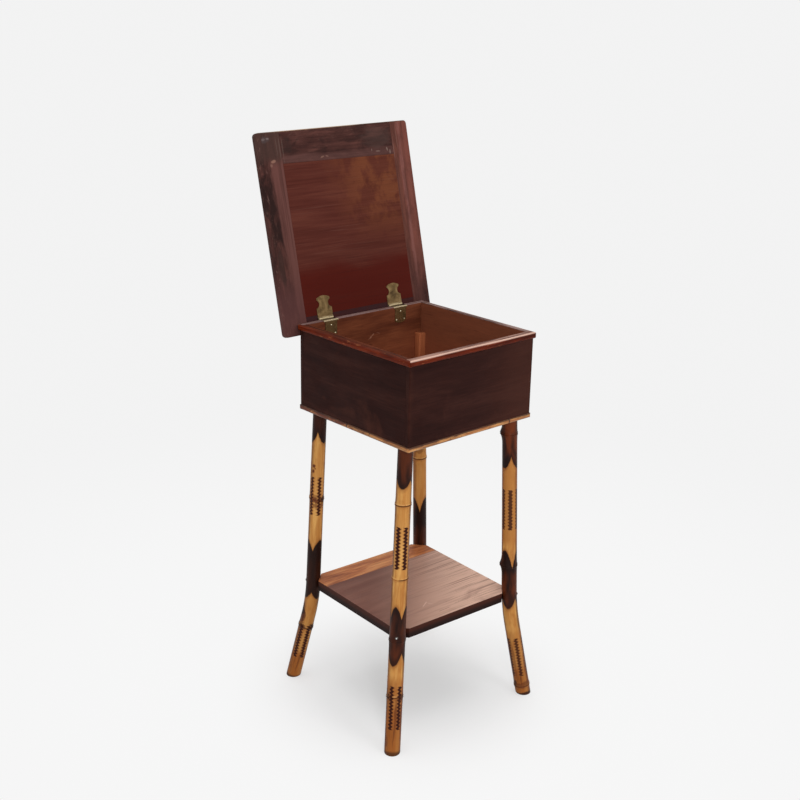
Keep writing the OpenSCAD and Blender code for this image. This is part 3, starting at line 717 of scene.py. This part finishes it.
def bambooFinish(name, look, leg):
    material, shader = startFinish(name)
    node = newNode("ShaderNodeAttribute")
    node.attribute_name = "culm"
    culm = node.outputs["Vector"]
    cx, cy, cz = split(culm)
    around = calc("ARCTAN2", cy, cx)
    height = times(cz, 1000)
    fibre = grain(culm, (900, 900, 14), 4, 0.6)
    streak = grain(culm, (110, 110, 7), 4, 0.6, 0.3)
    patch = grain(culm, (30, 30, 12), 4, 0.6, 0.5)
    colour = blend(spread(streak, 0.36, 0.64), look["tan"], look["pale"])
    colour = blend(times(spread(patch, 0.46, 0.68), 0.65), colour, look["orange"])
    colour = blend(times(spread(fibre, 0.5, 0.75), 0.25), colour, look["orange"])
    # the two flanks of each cane are painted browner than its face: painted shade
    flankShade = calc("COSINE", times(minus(around, math.radians(leg["paleAt"])), 2))
    uneven = swung(grain(culm, (45, 45, 9), 4, 0.6), 2.2)
    flankShade = spread(plus(flankShade, uneven), -0.85, 0.1, 1, 0)
    colour = blend(times(flankShade, leg["flankShade"]), colour, look["brown"])
    # browner skin between the heights given for this leg
    uneven = spread(streak, 0.38, 0.6, 0.45, 1)
    for low, high, amount in leg["browned"]:
        inBand = times(spread(height, low - 12, low + 8), spread(height, high - 8, high + 12, 1, 0))
        colour = blend(times(times(inBand, uneven), amount), colour, look["orange"])
    # towards the floor the skin is grimed in long streaks, most of all on the flanks
    grimed = grain(culm, (150, 150, 12), 5, 0.65, 0.4)
    grimed = plus(spread(grimed, 0.5, 0.66), times(flankShade, spread(grimed, 0.34, 0.52)))
    grimed = calc("MULTIPLY", grimed, spread(height, 118, 132, 1, 0), clamp=True)
    colour = blend(times(grimed, leg["grime"]), colour, look["grimed"])
    # joints: dark groove line, fainter at the foot; brown painted shade below, partly stain; pale lip above,
    # a painted highlight
    smudge = cloudy(culm, 95.0, 4, 0.65, 0.5)
    for joint in leg["joints"]:
        tilt = times(calc("SINE", plus(around, leg["jointTurn"])), 0.9)
        above = minus(plus(height, tilt), joint)
        below = times(spread(above, -7, -0.5), spread(above, 0, 0.8, 1, 0))
        colour = blend(times(below, 0.4), colour, look["orange"])
        line = spread(absolute(above), 0.6, 1.9, 0.8 if joint > 40 else 0.45, 0)
        if joint in leg["halfJoints"]:
            line = times(line, spread(around, -0.35, 0.15, 0.1, 1))
        colour = blend(line, colour, look["joint"])
        lip = times(spread(above, 1.2, 2.0), spread(above, 2.6, 4.0, 0.35, 0))
        colour = blend(times(lip, spread(smudge, 0.4, 0.55)), colour, look["lip"])
    colour = marked(colour, times(around, look["radius"]), height, leg["marks"], smudge)
    # scorched lengths: depth says how far inside one a point lies
    wavy = plus(height, swung(cloudy(culm, 130.0, 3, 0.6), 7))
    depth = None
    for burn in leg["burns"]:
        low, reach, middle, count = burn["low"]
        part = minus(wavy, plus(low + reach, times(scallop(around, count, middle), -reach)))
        if burn["high"]:
            high, reach, middle, count = burn["high"]
            edge = plus(high - reach, times(scallop(around, count, middle), reach))
            part = smaller(part, minus(edge, wavy))
        depth = larger(depth, part) if depth else part
    colour = blend(spread(depth, -10, 1, 0, 0.6), colour, look["toasted"])
    # inside a scorch the black of its rim gives way to red-brown in places
    red = spread(grain(culm, (46, 46, 15), 2, 0.45, 0.2), 0.38, 0.66)
    red = times(red, spread(depth, 4, 20, 0.25, 1))
    scorched = blend(times(red, leg["redness"]), look["scorch"], look["scorchRed"])
    colour = blend(spread(depth, -1.8, 1.8), colour, scorched)
    # zigzag lines drawn with a hot point, in upright rows
    drawn = None
    for low, high, middle, gap, tooth, swing, width, strength in leg["zigzags"]:
        gap = math.radians(gap)
        turn = calc("DIVIDE", minus(around, math.radians(middle)), gap)
        arc = swung(calc("FRACT", plus(turn, 20.5)), gap * look["radius"])
        wave = calc("FRACT", calc("DIVIDE", height, tooth))
        sway = minus(times(absolute(minus(wave, 0.5)), 4), 1)
        away = absolute(minus(arc, times(sway, swing)))
        blur = swung(cloudy(culm, 200.0, 3, 0.6), 3.0)
        line = spread(plus(away, blur), width * 0.42, width * 0.5 + 0.6, 1, 0)
        inside = times(calc("GREATER_THAN", height, low), calc("LESS_THAN", height, high))
        line = times(times(line, inside), strength)
        halo = times(times(spread(away, 2.2, 6.5, 0.75, 0), inside), strength)
        colour = blend(halo, colour, look["toasted"])
        drawn = larger(drawn, line) if drawn else line
    colour = blend(drawn, colour, look["line"])
    # the foot is darker brown just above the floor
    colour = blend(spread(height, 1.5, 8.0, 0.85, 0), colour, look["foot"])
    endFinish(shader, colour, patch, (0.3, 0.42), 0.085, minus(fibre, times(drawn, 1.5)), 0.12)
    return material


# legs, in millimetres as they were measured

legLook = {
    "stand": 580, "inset": 126.5, "shelfTop": 225, "shelfSide": 278, "cornerCut": 32, "letIn": 1.2,
    "splay": 43, "drop": 40, "reach": 38, "radii": (13.5, 14.5, 14.7), "bore": 10.5, "boreDeep": 45,
    "dowel": 8.1, "dowelDeep": 40, "sides": 48, "bendSteps": 60, "every": 9, "wobble": 0.12,
    "level": 0.05, "end": 4, "rimEase": 1.6, "smooth": 45, "jointTilt": 0.9,
    # each swelling at a joint: how high it is, where it lies and how wide it is
    "ridges": ((0.5, 0, 8), (0.75, -1.6, 0.9), (0.65, 1.5, 1.1), (-0.45, 0, 0.75)),
    "bud": {"high": 3.3, "up": 1, "wide": 9},
}
# each scorch: where its edge lies, how far its tongues reach, the middle of one and how many there are
# each zigzag: its low and high end, the middle of a row and the angle between rows, the length of a tooth,
# how far it swings, the width of its line and how strong it is
burnt, stained = (0.022, 0.007, 0.004), (0.105, 0.026, 0.009)
legs = [
    {"name": "legFrontLeft", "node": "leg_front_left", "side": (-1, -1), "turn": (2.1, 3.9, 3.9), "out": 4,
     "lower": 0, "extra": (0.1, 0.4, 0.2), "joints": (472.7, 331.8, 209.7, 104), "buds": (),
     "halfJoints": (331.8,), "facing": 227.6, "jointTurn": 2.2, "redness": 0.55, "paleAt": 2, "flankShade": 0.75,
     "browned": ((0, 80, 0.95), (0, 136, 0.8), (160, 255, 0.35)), "grime": 0.6,
     "marks": ((15, 104, 10, 7, 0, 0.95, burnt), (-12, 104, 8, 5, 0, 0.8, burnt),
               (-18, 30, 6, 34, 2, 0.9, stained), (18, 66, 7, 44, 0, 0.85, stained),
               (4, 70, 4, 34, 0, 0.45, stained)),
     "burns": ({"low": (503, 17, -8, 3), "high": None},
               {"low": (161, 26, -22, 3), "high": (278, 25, -20, 4)}),
     "zigzags": ((351, 432, -27, 58, 6.7, 1.9, 6.3, 1.0), (45, 124, -24, 60, 6.4, 1.9, 5.8, 1.0))},
    {"name": "legFrontRight", "node": "leg_front_right", "side": (1, -1), "turn": (1.5, 2.8, 2.3), "out": -5,
     "lower": -5, "extra": (0.6, 0.4, 0.1), "joints": (549.8, 280.7, 20), "buds": (549.8, 280.7),
     "halfJoints": (), "facing": 222.2, "jointTurn": 1.0, "redness": 1.0, "paleAt": -2, "flankShade": 0.85,
     "browned": ((0, 60, 0.95), (0, 140, 0.6), (330, 500, 0.7)), "grime": 0.7,
     "marks": ((-15, 26, 8, 10, 10, 0.85, burnt), (4, 23, 18, 7, 0, 0.7, stained),
               (2, 3, 20, 4, 0, 0.9, burnt), (-18, 80, 9, 58, 0, 0.95, stained),
               (-6, 78, 3, 40, 0, 0.5, stained), (17, 62, 6, 46, 0, 0.75, stained)),
     "burns": ({"low": (481, 24, -46, 3), "high": None},
               {"low": (191, 20, -8, 3), "high": (314, 38, -36, 3)}),
     "zigzags": ((357, 439, 8, 60, 6.6, 1.2, 6.8, 0.85), (43, 126, 13, 63, 6.2, 1.7, 5.3, 0.85))},
    {"name": "legBackLeft", "node": "leg_back_left", "side": (-1, 1), "turn": (1.5, 2.8, 3.9), "out": 0,
     "lower": 7, "extra": (-0.4, -0.3, -0.3), "joints": (397.3, 117), "buds": (),
     "halfJoints": (), "facing": 232.5, "jointTurn": 0.4, "redness": 0.2, "paleAt": 8, "flankShade": 0.7,
     "browned": ((0, 60, 0.95), (0, 170, 0.45)), "grime": 0.6,
     "marks": ((-8, 396, 13, 7, 0, 0.9, stained), (12, 397, 10, 10, 0, 0.95, burnt),
               (4, 384, 15, 6, 0, 0.7, stained), (0, 404, 15, 4, 0, 0.5, stained),
               (14, 119, 10, 9, 0, 1, burnt), (-12, 118, 11, 7, 0, 0.9, burnt),
               (-17, 146, 9, 24, 8, 1, burnt), (-12, 136, 6, 14, 0, 0.7, stained),
               (-9, 467, 4, 4.5, 0, 1, stained), (-10, 456, 3.6, 4, 0, 1, stained),
               (-6, 462, 2.0, 2, 0, 0.8, stained), (14, 175, 6, 8, 0, 0.5, stained)),
     "burns": ({"low": (513, 24, 48, 3), "high": None},
               {"low": (182, 15, 48, 3), "high": (310, 22, 44, 3)}),
     "zigzags": ((364, 444, 19, 65, 6.8, 1.8, 5.3, 0.95), (48, 122, 24, 60, 6.2, 2.1, 6.0, 1.0))},
    {"name": "legBackRight", "node": "leg_back_right", "side": (1, 1), "turn": (0.5, 2.9, 3.0), "out": -3,
     "lower": 0, "extra": (-0.2, -0.4, -0.3), "joints": (422.2, 128), "buds": (),
     "halfJoints": (), "facing": 227.2, "jointTurn": 2.0, "redness": 0.7, "paleAt": 20, "flankShade": 0.7,
     "browned": ((0, 60, 0.85), (60, 440, 0.45)), "grime": 0.6,
     "marks": ((0, 440, 16, 6, 0, 0.5, stained), (12, 128, 10, 5, 0, 0.7, burnt)),
     "burns": ({"low": (520, 26, 0, 3), "high": None},
               {"low": (176, 22, 0, 3), "high": (333, 32, 60, 3)}),
     "zigzags": ((36, 110, 0, 60, 6.2, 2.0, 4.7, 0.85),)},
]


def legPath(leg, look):
    # three points fix a leg: its top, where it passes the shelf, and its foot; it bends below the shelf
    sideTurn = math.degrees(math.atan2(leg["side"][1], leg["side"][0]))
    reach = look["shelfSide"] / math.sqrt(2) - look["cornerCut"] / 2
    reach = reach + look["radii"][1] + leg["extra"][1] - look["letIn"]

    def around(radius, turn, z):
        a = math.radians(sideTurn - turn)
        return Vector((radius * math.cos(a), radius * math.sin(a), z))

    top = around(look["inset"] * math.sqrt(2), leg["turn"][0], look["stand"])
    shelf = around(reach, leg["turn"][1], look["shelfTop"])
    foot = around(reach + look["splay"] + leg["out"], leg["turn"][2], 0)
    up = (top - shelf).normalized()
    kink = shelf - up * (look["drop"] + leg["lower"])
    down = (foot - kink).normalized()
    bend = math.pi - up.angle(down)
    curve = look["reach"] / math.tan(bend / 2)
    inward = (up + down).normalized()
    centre = kink + inward * math.hypot(look["reach"], curve)
    radii = [r + e for r, e in zip(look["radii"], leg["extra"])]
    return {"foot": foot, "kink": kink, "up": up, "down": down, "bend": bend, "curve": curve,
            "centre": centre, "axis": up.cross(down).normalized(), "upLength": (top - kink).length,
            "downLength": (foot - kink).length, "radii": radii, "reach": look["reach"]}


def alongLeg(path, point):
    # the nearest place on the leg's middle line, and how far along it that is from the bend
    fromKink = point - path["kink"]
    a, b = fromKink.dot(path["up"]), fromKink.dot(path["down"])
    if a > path["reach"]:
        return path["kink"] + path["up"] * a, a
    if b > path["reach"]:
        return path["kink"] + path["down"] * b, -b
    out = point - path["centre"]
    out -= path["axis"] * out.dot(path["axis"])
    out.normalize()
    start = (path["kink"] + path["up"] * path["reach"] - path["centre"]).normalized()
    share = start.angle(out) / path["bend"]
    return path["centre"] + out * path["curve"], path["reach"] * (1 - 2 * share)


def legRadius(path, s):
    box, bend, foot = path["radii"]
    if s > path["reach"]:
        return bend + (box - bend) * (s - path["reach"]) / (path["upLength"] - path["reach"])
    if s < -path["reach"]:
        return bend + (foot - bend) * (-s - path["reach"]) / (path["downLength"] - path["reach"])
    return bend


def legPlaceOf(path, z):
    return (z - path["kink"].z) / (path["up"].z if z > path["kink"].z else -path["down"].z)


def stationsBetween(start, end, joints, every):
    # evenly spaced, and closer together round a joint
    places = {start, end}
    step = every if end > start else -every
    places.update(start + step * k for k in range(1, int(abs(end - start) / every)))
    nearJoint = (0, 0.5, 1.1, 1.7, 2.3, 3, 4, 5.5, 8)
    for joint in joints:
        for d in (side * gap for side in (-1, 1) for gap in nearJoint):
            if min(start, end) + 1 < joint + d < max(start, end) - 1:
                places.add(joint + d)
    kept = []
    for place in sorted(places, reverse=end < start):
        if not kept or abs(place - kept[-1]) > 0.35:
            kept.append(place)
    return kept


def selectOnly(thing):
    bpy.ops.object.select_all(action="DESELECT")
    thing.select_set(True)
    view.objects.active = thing


def pickVertices(thing, test):
    # in edit mode: selects the vertices that pass the test, and the edges between them
    bpy.ops.object.mode_set(mode="OBJECT")
    mesh = thing.data
    chosen = [test(v.co) for v in mesh.vertices]
    mesh.polygons.foreach_set("select", [False] * len(mesh.polygons))
    mesh.edges.foreach_set("select", [chosen[e.vertices[0]] and chosen[e.vertices[1]] for e in mesh.edges])
    mesh.vertices.foreach_set("select", chosen)
    bpy.ops.object.mode_set(mode="EDIT")


def makeLeg(leg, look):
    mm = 0.001
    path = legPath(leg, look)
    knots = [legPlaceOf(path, z) for z in leg["joints"]]
    turn = (-path["down"]).to_track_quat("Z", "Y").to_euler()
    bpy.ops.object.select_all(action="DESELECT")
    bpy.ops.mesh.primitive_circle_add(vertices=look["sides"], radius=look["radii"][2] * mm,
                                      fill_type="NOTHING", location=path["foot"] * mm, rotation=turn)
    culm = bpy.context.object
    culm.name = culm.data.name = leg["name"]
    bpy.ops.object.transform_apply(location=True, rotation=True, scale=True)
    bpy.ops.object.mode_set(mode="EDIT")
    bpy.ops.mesh.select_all(action="SELECT")
    places = stationsBetween(-path["downLength"], -path["reach"], knots, look["every"])
    for a, b in zip(places, places[1:]):
        bpy.ops.mesh.extrude_region_move(TRANSFORM_OT_translate={"value": path["down"] * (a - b) * mm})
    bpy.ops.mesh.spin(steps=look["bendSteps"], angle=path["bend"], center=path["centre"] * mm,
                      axis=path["axis"] * -1)
    places = stationsBetween(path["reach"], path["upLength"], knots, look["every"])
    for a, b in zip(places, places[1:]):
        bpy.ops.mesh.extrude_region_move(TRANSFORM_OT_translate={"value": path["up"] * (b - a) * mm})
    bpy.ops.object.mode_set(mode="OBJECT")

    # swell the joints and buds, and cut both ends level
    faceTurn = math.radians(leg["facing"])
    face = Vector((math.cos(faceTurn), math.sin(faceTurn), 0))
    right = Vector((-math.sin(faceTurn), math.cos(faceTurn), 0))
    inward = -Vector((leg["side"][0], leg["side"][1], 0)).normalized()
    wobble = [random.uniform(-look["wobble"], look["wobble"]) for _ in range(6)]
    for vertex in culm.data.vertices:
        point = vertex.co / mm
        middle, s = alongLeg(path, point)
        out = (point - middle).normalized()
        angle = math.atan2(out.dot(right), out.dot(face))
        radius = legRadius(path, s)
        twist = wobble[2] * 20
        uneven = wobble[0] * math.sin(angle + s * 0.011)
        radius += uneven + wobble[1] * math.cos(2 * angle + s * 0.017 + twist)
        for knot in knots:
            d = s - knot + look["jointTilt"] * math.sin(angle + leg["jointTurn"])
            if abs(d) < 30:
                radius += sum(high * math.exp(-((d - at) / wide) ** 2) for high, at, wide in look["ridges"])
        for z in leg["buds"]:
            d = s - legPlaceOf(path, z)
            toBud = max(0.0, out.dot(inward))
            bud = look["bud"]
            radius += bud["high"] * math.exp(-((d - bud["up"]) / bud["wide"]) ** 2) * toBud ** 4
        vertex.co = (middle + out * radius) * mm
        if s < -path["downLength"] + look["end"]:
            vertex.co -= path["down"] * (vertex.co.z / path["down"].z)
        if s > path["upLength"] - look["end"]:
            vertex.co -= path["up"] * ((vertex.co.z - look["stand"] * mm) / path["up"].z)

    # hollow foot with an eased rim, and a socket for the dowel in the top
    bpy.ops.object.mode_set(mode="EDIT")
    level = look["level"] * mm
    pickVertices(culm, lambda p: p.z < level)
    shrink = look["bore"] / legRadius(path, -path["downLength"])
    bpy.ops.mesh.extrude_region_move(TRANSFORM_OT_translate={"value": (0, 0, 0)})
    bpy.ops.transform.resize(value=(shrink, shrink, 1), center_override=path["foot"] * mm)
    bpy.ops.mesh.extrude_region_move(TRANSFORM_OT_translate={"value": -path["down"] * look["boreDeep"] * mm})
    bpy.ops.mesh.edge_face_add()
    edgeAt = (legRadius(path, -path["downLength"]) - 1) * mm
    foot = path["foot"] * mm
    pickVertices(culm, lambda p: p.z < level and (p - foot).length > edgeAt)
    bpy.ops.mesh.bevel(offset=look["rimEase"] * mm, segments=3, profile=0.5)
    top = look["stand"] * mm
    pickVertices(culm, lambda p: p.z > top - level)
    bpy.ops.mesh.edge_face_add()
    bpy.ops.mesh.inset(thickness=(path["radii"][0] - look["dowel"]) * mm)
    bpy.ops.mesh.extrude_region_move(TRANSFORM_OT_translate={"value": -path["up"] * look["dowelDeep"] * mm})
    bpy.ops.mesh.select_all(action="SELECT")
    bpy.ops.mesh.normals_make_consistent(inside=False)
    bpy.ops.object.mode_set(mode="OBJECT")

    # the pattern follows the cane: each point knows its height and where it lies round the middle line
    culm.data.attributes.new("culm", "FLOAT_VECTOR", "POINT")
    for vertex, mark in zip(culm.data.vertices, culm.data.attributes["culm"].data):
        middle, _ = alongLeg(path, vertex.co / mm)
        out = vertex.co / mm - middle
        mark.vector = (out.dot(face) * mm, out.dot(right) * mm, middle.z * mm)
    culm.data.materials.append(bambooFinish(leg["name"] + "Cane", bambooLook, leg))
    selectOnly(culm)
    bpy.ops.object.shade_smooth_by_angle(angle=math.radians(look["smooth"]))
    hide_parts(leg["node"])
    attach(culm, "stand")


for leg in legs:
    makeLeg(leg, legLook)
    print("leg done:", leg["name"])


# boards and fittings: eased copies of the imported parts

lidCornerLook = {"round": 0.007, "half": 0.1825, "back": 0.023, "front": 0.3528, "skew": 0.848,
                 "shift": 0.002, "steps": 5}
easeLook = {"merge": 0.000002, "flat": 0.6, "segments": 2, "sharp": 35, "smooth": 32}


def roundLidCorners(piece, side, look):
    # cuts the corner squares into narrow strips, then draws each square in to a quarter circle
    turn = Matrix.Rotation(math.radians(-lidLook["open"]), 4, "X")
    toWorld = Matrix.Translation(lidLook["pin"]) @ turn @ Matrix.Translation((-look["shift"], 0, 0))
    toLid = toWorld.inverted()
    skew = math.radians(look["skew"])
    r = look["round"]
    cuts = [r * math.tan(math.radians(45 * k / look["steps"])) for k in range(look["steps"])]
    frontNormal = Vector((math.sin(skew), math.cos(skew), 0))
    for cut in cuts:
        planes = [(Vector((side * (look["half"] - r + cut), 0, 0)), Vector((1, 0, 0))),
                  (Vector((0, look["back"] - r + cut, 0)), Vector((0, 1, 0))),
                  (Vector((0, -look["front"], 0)) + frontNormal * (r - cut), frontNormal)]
        for point, normal in planes:
            bpy.ops.mesh.select_all(action="SELECT")
            bpy.ops.mesh.bisect(plane_co=toWorld @ point, plane_no=(toWorld.to_3x3() @ normal).normalized())
    bpy.ops.object.mode_set(mode="OBJECT")
    for vertex in piece.data.vertices:
        place = toLid @ vertex.co
        u = r - (look["half"] - side * place.x)
        fromBack = look["back"] - place.y
        fromFront = (place - Vector((0, -look["front"], 0))).dot(frontNormal)
        v = r - min(fromBack, fromFront)
        if u <= 0 or v <= 0:
            continue
        k = max(u, v) / math.hypot(u, v)
        place.x = side * (look["half"] - r + u * k)
        if fromBack < fromFront:
            place.y = look["back"] - r + v * k
        else:
            place.y = -look["front"] + (r - v * k - place.x * math.sin(skew)) / math.cos(skew)
        vertex.co = toWorld @ place
    bpy.ops.object.mode_set(mode="EDIT")
    bpy.ops.mesh.select_all(action="SELECT")


def easedCopy(node, name, body, finish, ease, lidSide=0):
    # a board as it came from the saw, its sharp edges rubbed down
    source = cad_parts[node]
    piece = bpy.data.objects.new(name, source.data.copy())
    piece.data.name = name
    bpy.context.scene.collection.objects.link(piece)
    selectOnly(piece)
    bpy.ops.object.mode_set(mode="EDIT")
    bpy.ops.mesh.select_all(action="SELECT")
    bpy.ops.mesh.remove_doubles(threshold=easeLook["merge"])
    if lidSide:
        roundLidCorners(piece, lidSide, lidCornerLook)
    bpy.ops.mesh.dissolve_limited(angle_limit=math.radians(easeLook["flat"]))
    bpy.ops.mesh.normals_make_consistent(inside=False)
    bpy.ops.object.mode_set(mode="OBJECT")
    if ease:
        bevel = piece.modifiers.new("ease", "BEVEL")
        bevel.width = ease
        bevel.segments = easeLook["segments"]
        bevel.limit_method = "ANGLE"
        bevel.angle_limit = math.radians(easeLook["sharp"])
        bevel.use_clamp_overlap = True
        bpy.ops.object.modifier_apply(modifier="ease")
    bpy.ops.object.shade_smooth_by_angle(angle=math.radians(easeLook["smooth"]))
    if ease:
        flat = piece.modifiers.new("flatFaces", "WEIGHTED_NORMAL")
        flat.keep_sharp = True
        bpy.ops.object.modifier_apply(modifier="flatFaces")
    piece.data.materials.clear()
    piece.data.materials.append(finish)
    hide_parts(node)
    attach(piece, body)


wallEdges = {
    "front": ("x", (0.1, 0.035, 0.025), (0.36, 0.2, 0.155), 0.2),
    "back": ("x", (0.13, 0.07, 0.062), (0.24, 0.15, 0.14), 0.06),
    "left": ("y", (0.055, 0.016, 0.01), (0.12, 0.032, 0.016), 0.1),
    "right": ("y", (0.06, 0.025, 0.02), (0.26, 0.16, 0.14), 0.5),
}
for side, (along, dark, pale, lighterInside) in wallEdges.items():
    name = side.capitalize()
    easedCopy("box_" + side, "box" + name, "stand",
              boxFinish("darkPolish" + name, side, along, boxLook, dark, pale, lighterInside), 0.0005)
floorTint = {"dark": (0.12, 0.032, 0.016), "middle": (0.27, 0.078, 0.034), "light": (0.38, 0.125, 0.052)}
bottomWood = insideFinish("bottomBoard", tint=floorTint)
easedCopy("box_bottom", "boxBottom", "stand", bottomWood, 0.0003)
postTint = {"dark": (0.18, 0.05, 0.021), "middle": (0.37, 0.11, 0.045), "light": (0.5, 0.175, 0.07)}
postWood = insideFinish("cornerBlock", turn=(0, math.radians(90), 0), tint=postTint)
for corner in ("front_left", "front_right", "back_left", "back_right"):
    name = "corner" + "".join(word.capitalize() for word in corner.split("_"))
    easedCopy("post_" + corner, name, "stand", postWood, 0.0006)

rims = {"front": ("x", 1.0), "back": ("x", 0.5), "left": ("y", 0.03), "right": ("y", 0.4)}
beads = {
    "front": {"along": "x", "joints": (0.095,), "redFrom": 9.0, "redTo": 9.1},
    "back": {"along": "x", "joints": (-0.04, 0.11), "redFrom": 0.05, "redTo": 0.15},
    "left": {"along": "y", "joints": (0.012,), "redFrom": -0.04, "redTo": 0.07},
    "right": {"along": "y", "joints": (-0.07,), "redFrom": 9.0, "redTo": 9.1},
}
for side, (along, topWearAndSheen) in rims.items():
    easedCopy("rim_" + side, "rim" + side.capitalize(), "stand",
              rimFinish("rimWood" + side.capitalize(), along, rimLook, topWearAndSheen), 0.0006)
for side, bead in beads.items():
    easedCopy("base_bead_" + side, "bead" + side.capitalize(), "stand",
              beadFinish("splitCane" + side.capitalize(), beadLook, bead), 0.0003)
print("box done")

shelfPolish = shelfFinish("shelfPolish", "board", shelfLook)
easedCopy("shelf_board", "shelfBoard", "stand", shelfPolish, 0.0008)
shelfStrip = shelfFinish("shelfStrip", "strip", shelfLook)
easedCopy("shelf_back_board", "shelfBackBoard", "stand", shelfStrip, 0.0008)
steel = metalFinish("screwSteel", steelLook)
easedCopy("shelf_screws", "shelfScrews", "stand", steel, 0)
easedCopy("leg_dowels", "legDowels", "stand", insideFinish("dowelEnd"), 0.0003)
print("shelf done")

lidMembers = {
    "left": ("lid_stile_left", "lidLeft", "lidLeftWood", 0.0005, -1),
    "right": ("lid_stile_right", "lidRight", "lidRightWood", 0.0005, 1),
    "front": ("lid_rail_front", "lidFrontRail", "lidFrontWood", 0.0005, 0),
    "back": ("lid_rail_back", "lidBackRail", "lidBackWood", 0.0004, 0),
}
for kind, (node, name, wood, ease, lidSide) in lidMembers.items():
    easedCopy(node, name, "lid", frameFinish(wood, kind, lidLook), ease, lidSide)
easedCopy("lid_panel", "lidField", "lid", fieldFinish("lidFieldWood", lidLook), 0.0004)
print("lid done")

brass = metalFinish("agedBrass", brassLook)
boxBrass = metalFinish("boxPlateBrass", boxBrassLook)
nails = metalFinish("brightNails", nailLook)
for side in ("left", "right"):
    name = side.capitalize()
    easedCopy("lid_leaf_" + side, "lidPlate" + name, "lid", brass, 0.0002)
    easedCopy("box_leaf_" + side, "boxPlate" + name, "stand", boxBrass, 0.0002)
    easedCopy("hinge_pin_" + side, "hingePin" + name, "stand", brass, 0.0002)
easedCopy("lid_leaf_nails", "lidNails", "lid", brass, 0)
easedCopy("box_leaf_nails", "boxNails", "stand", nails, 0)
print("hinges done")
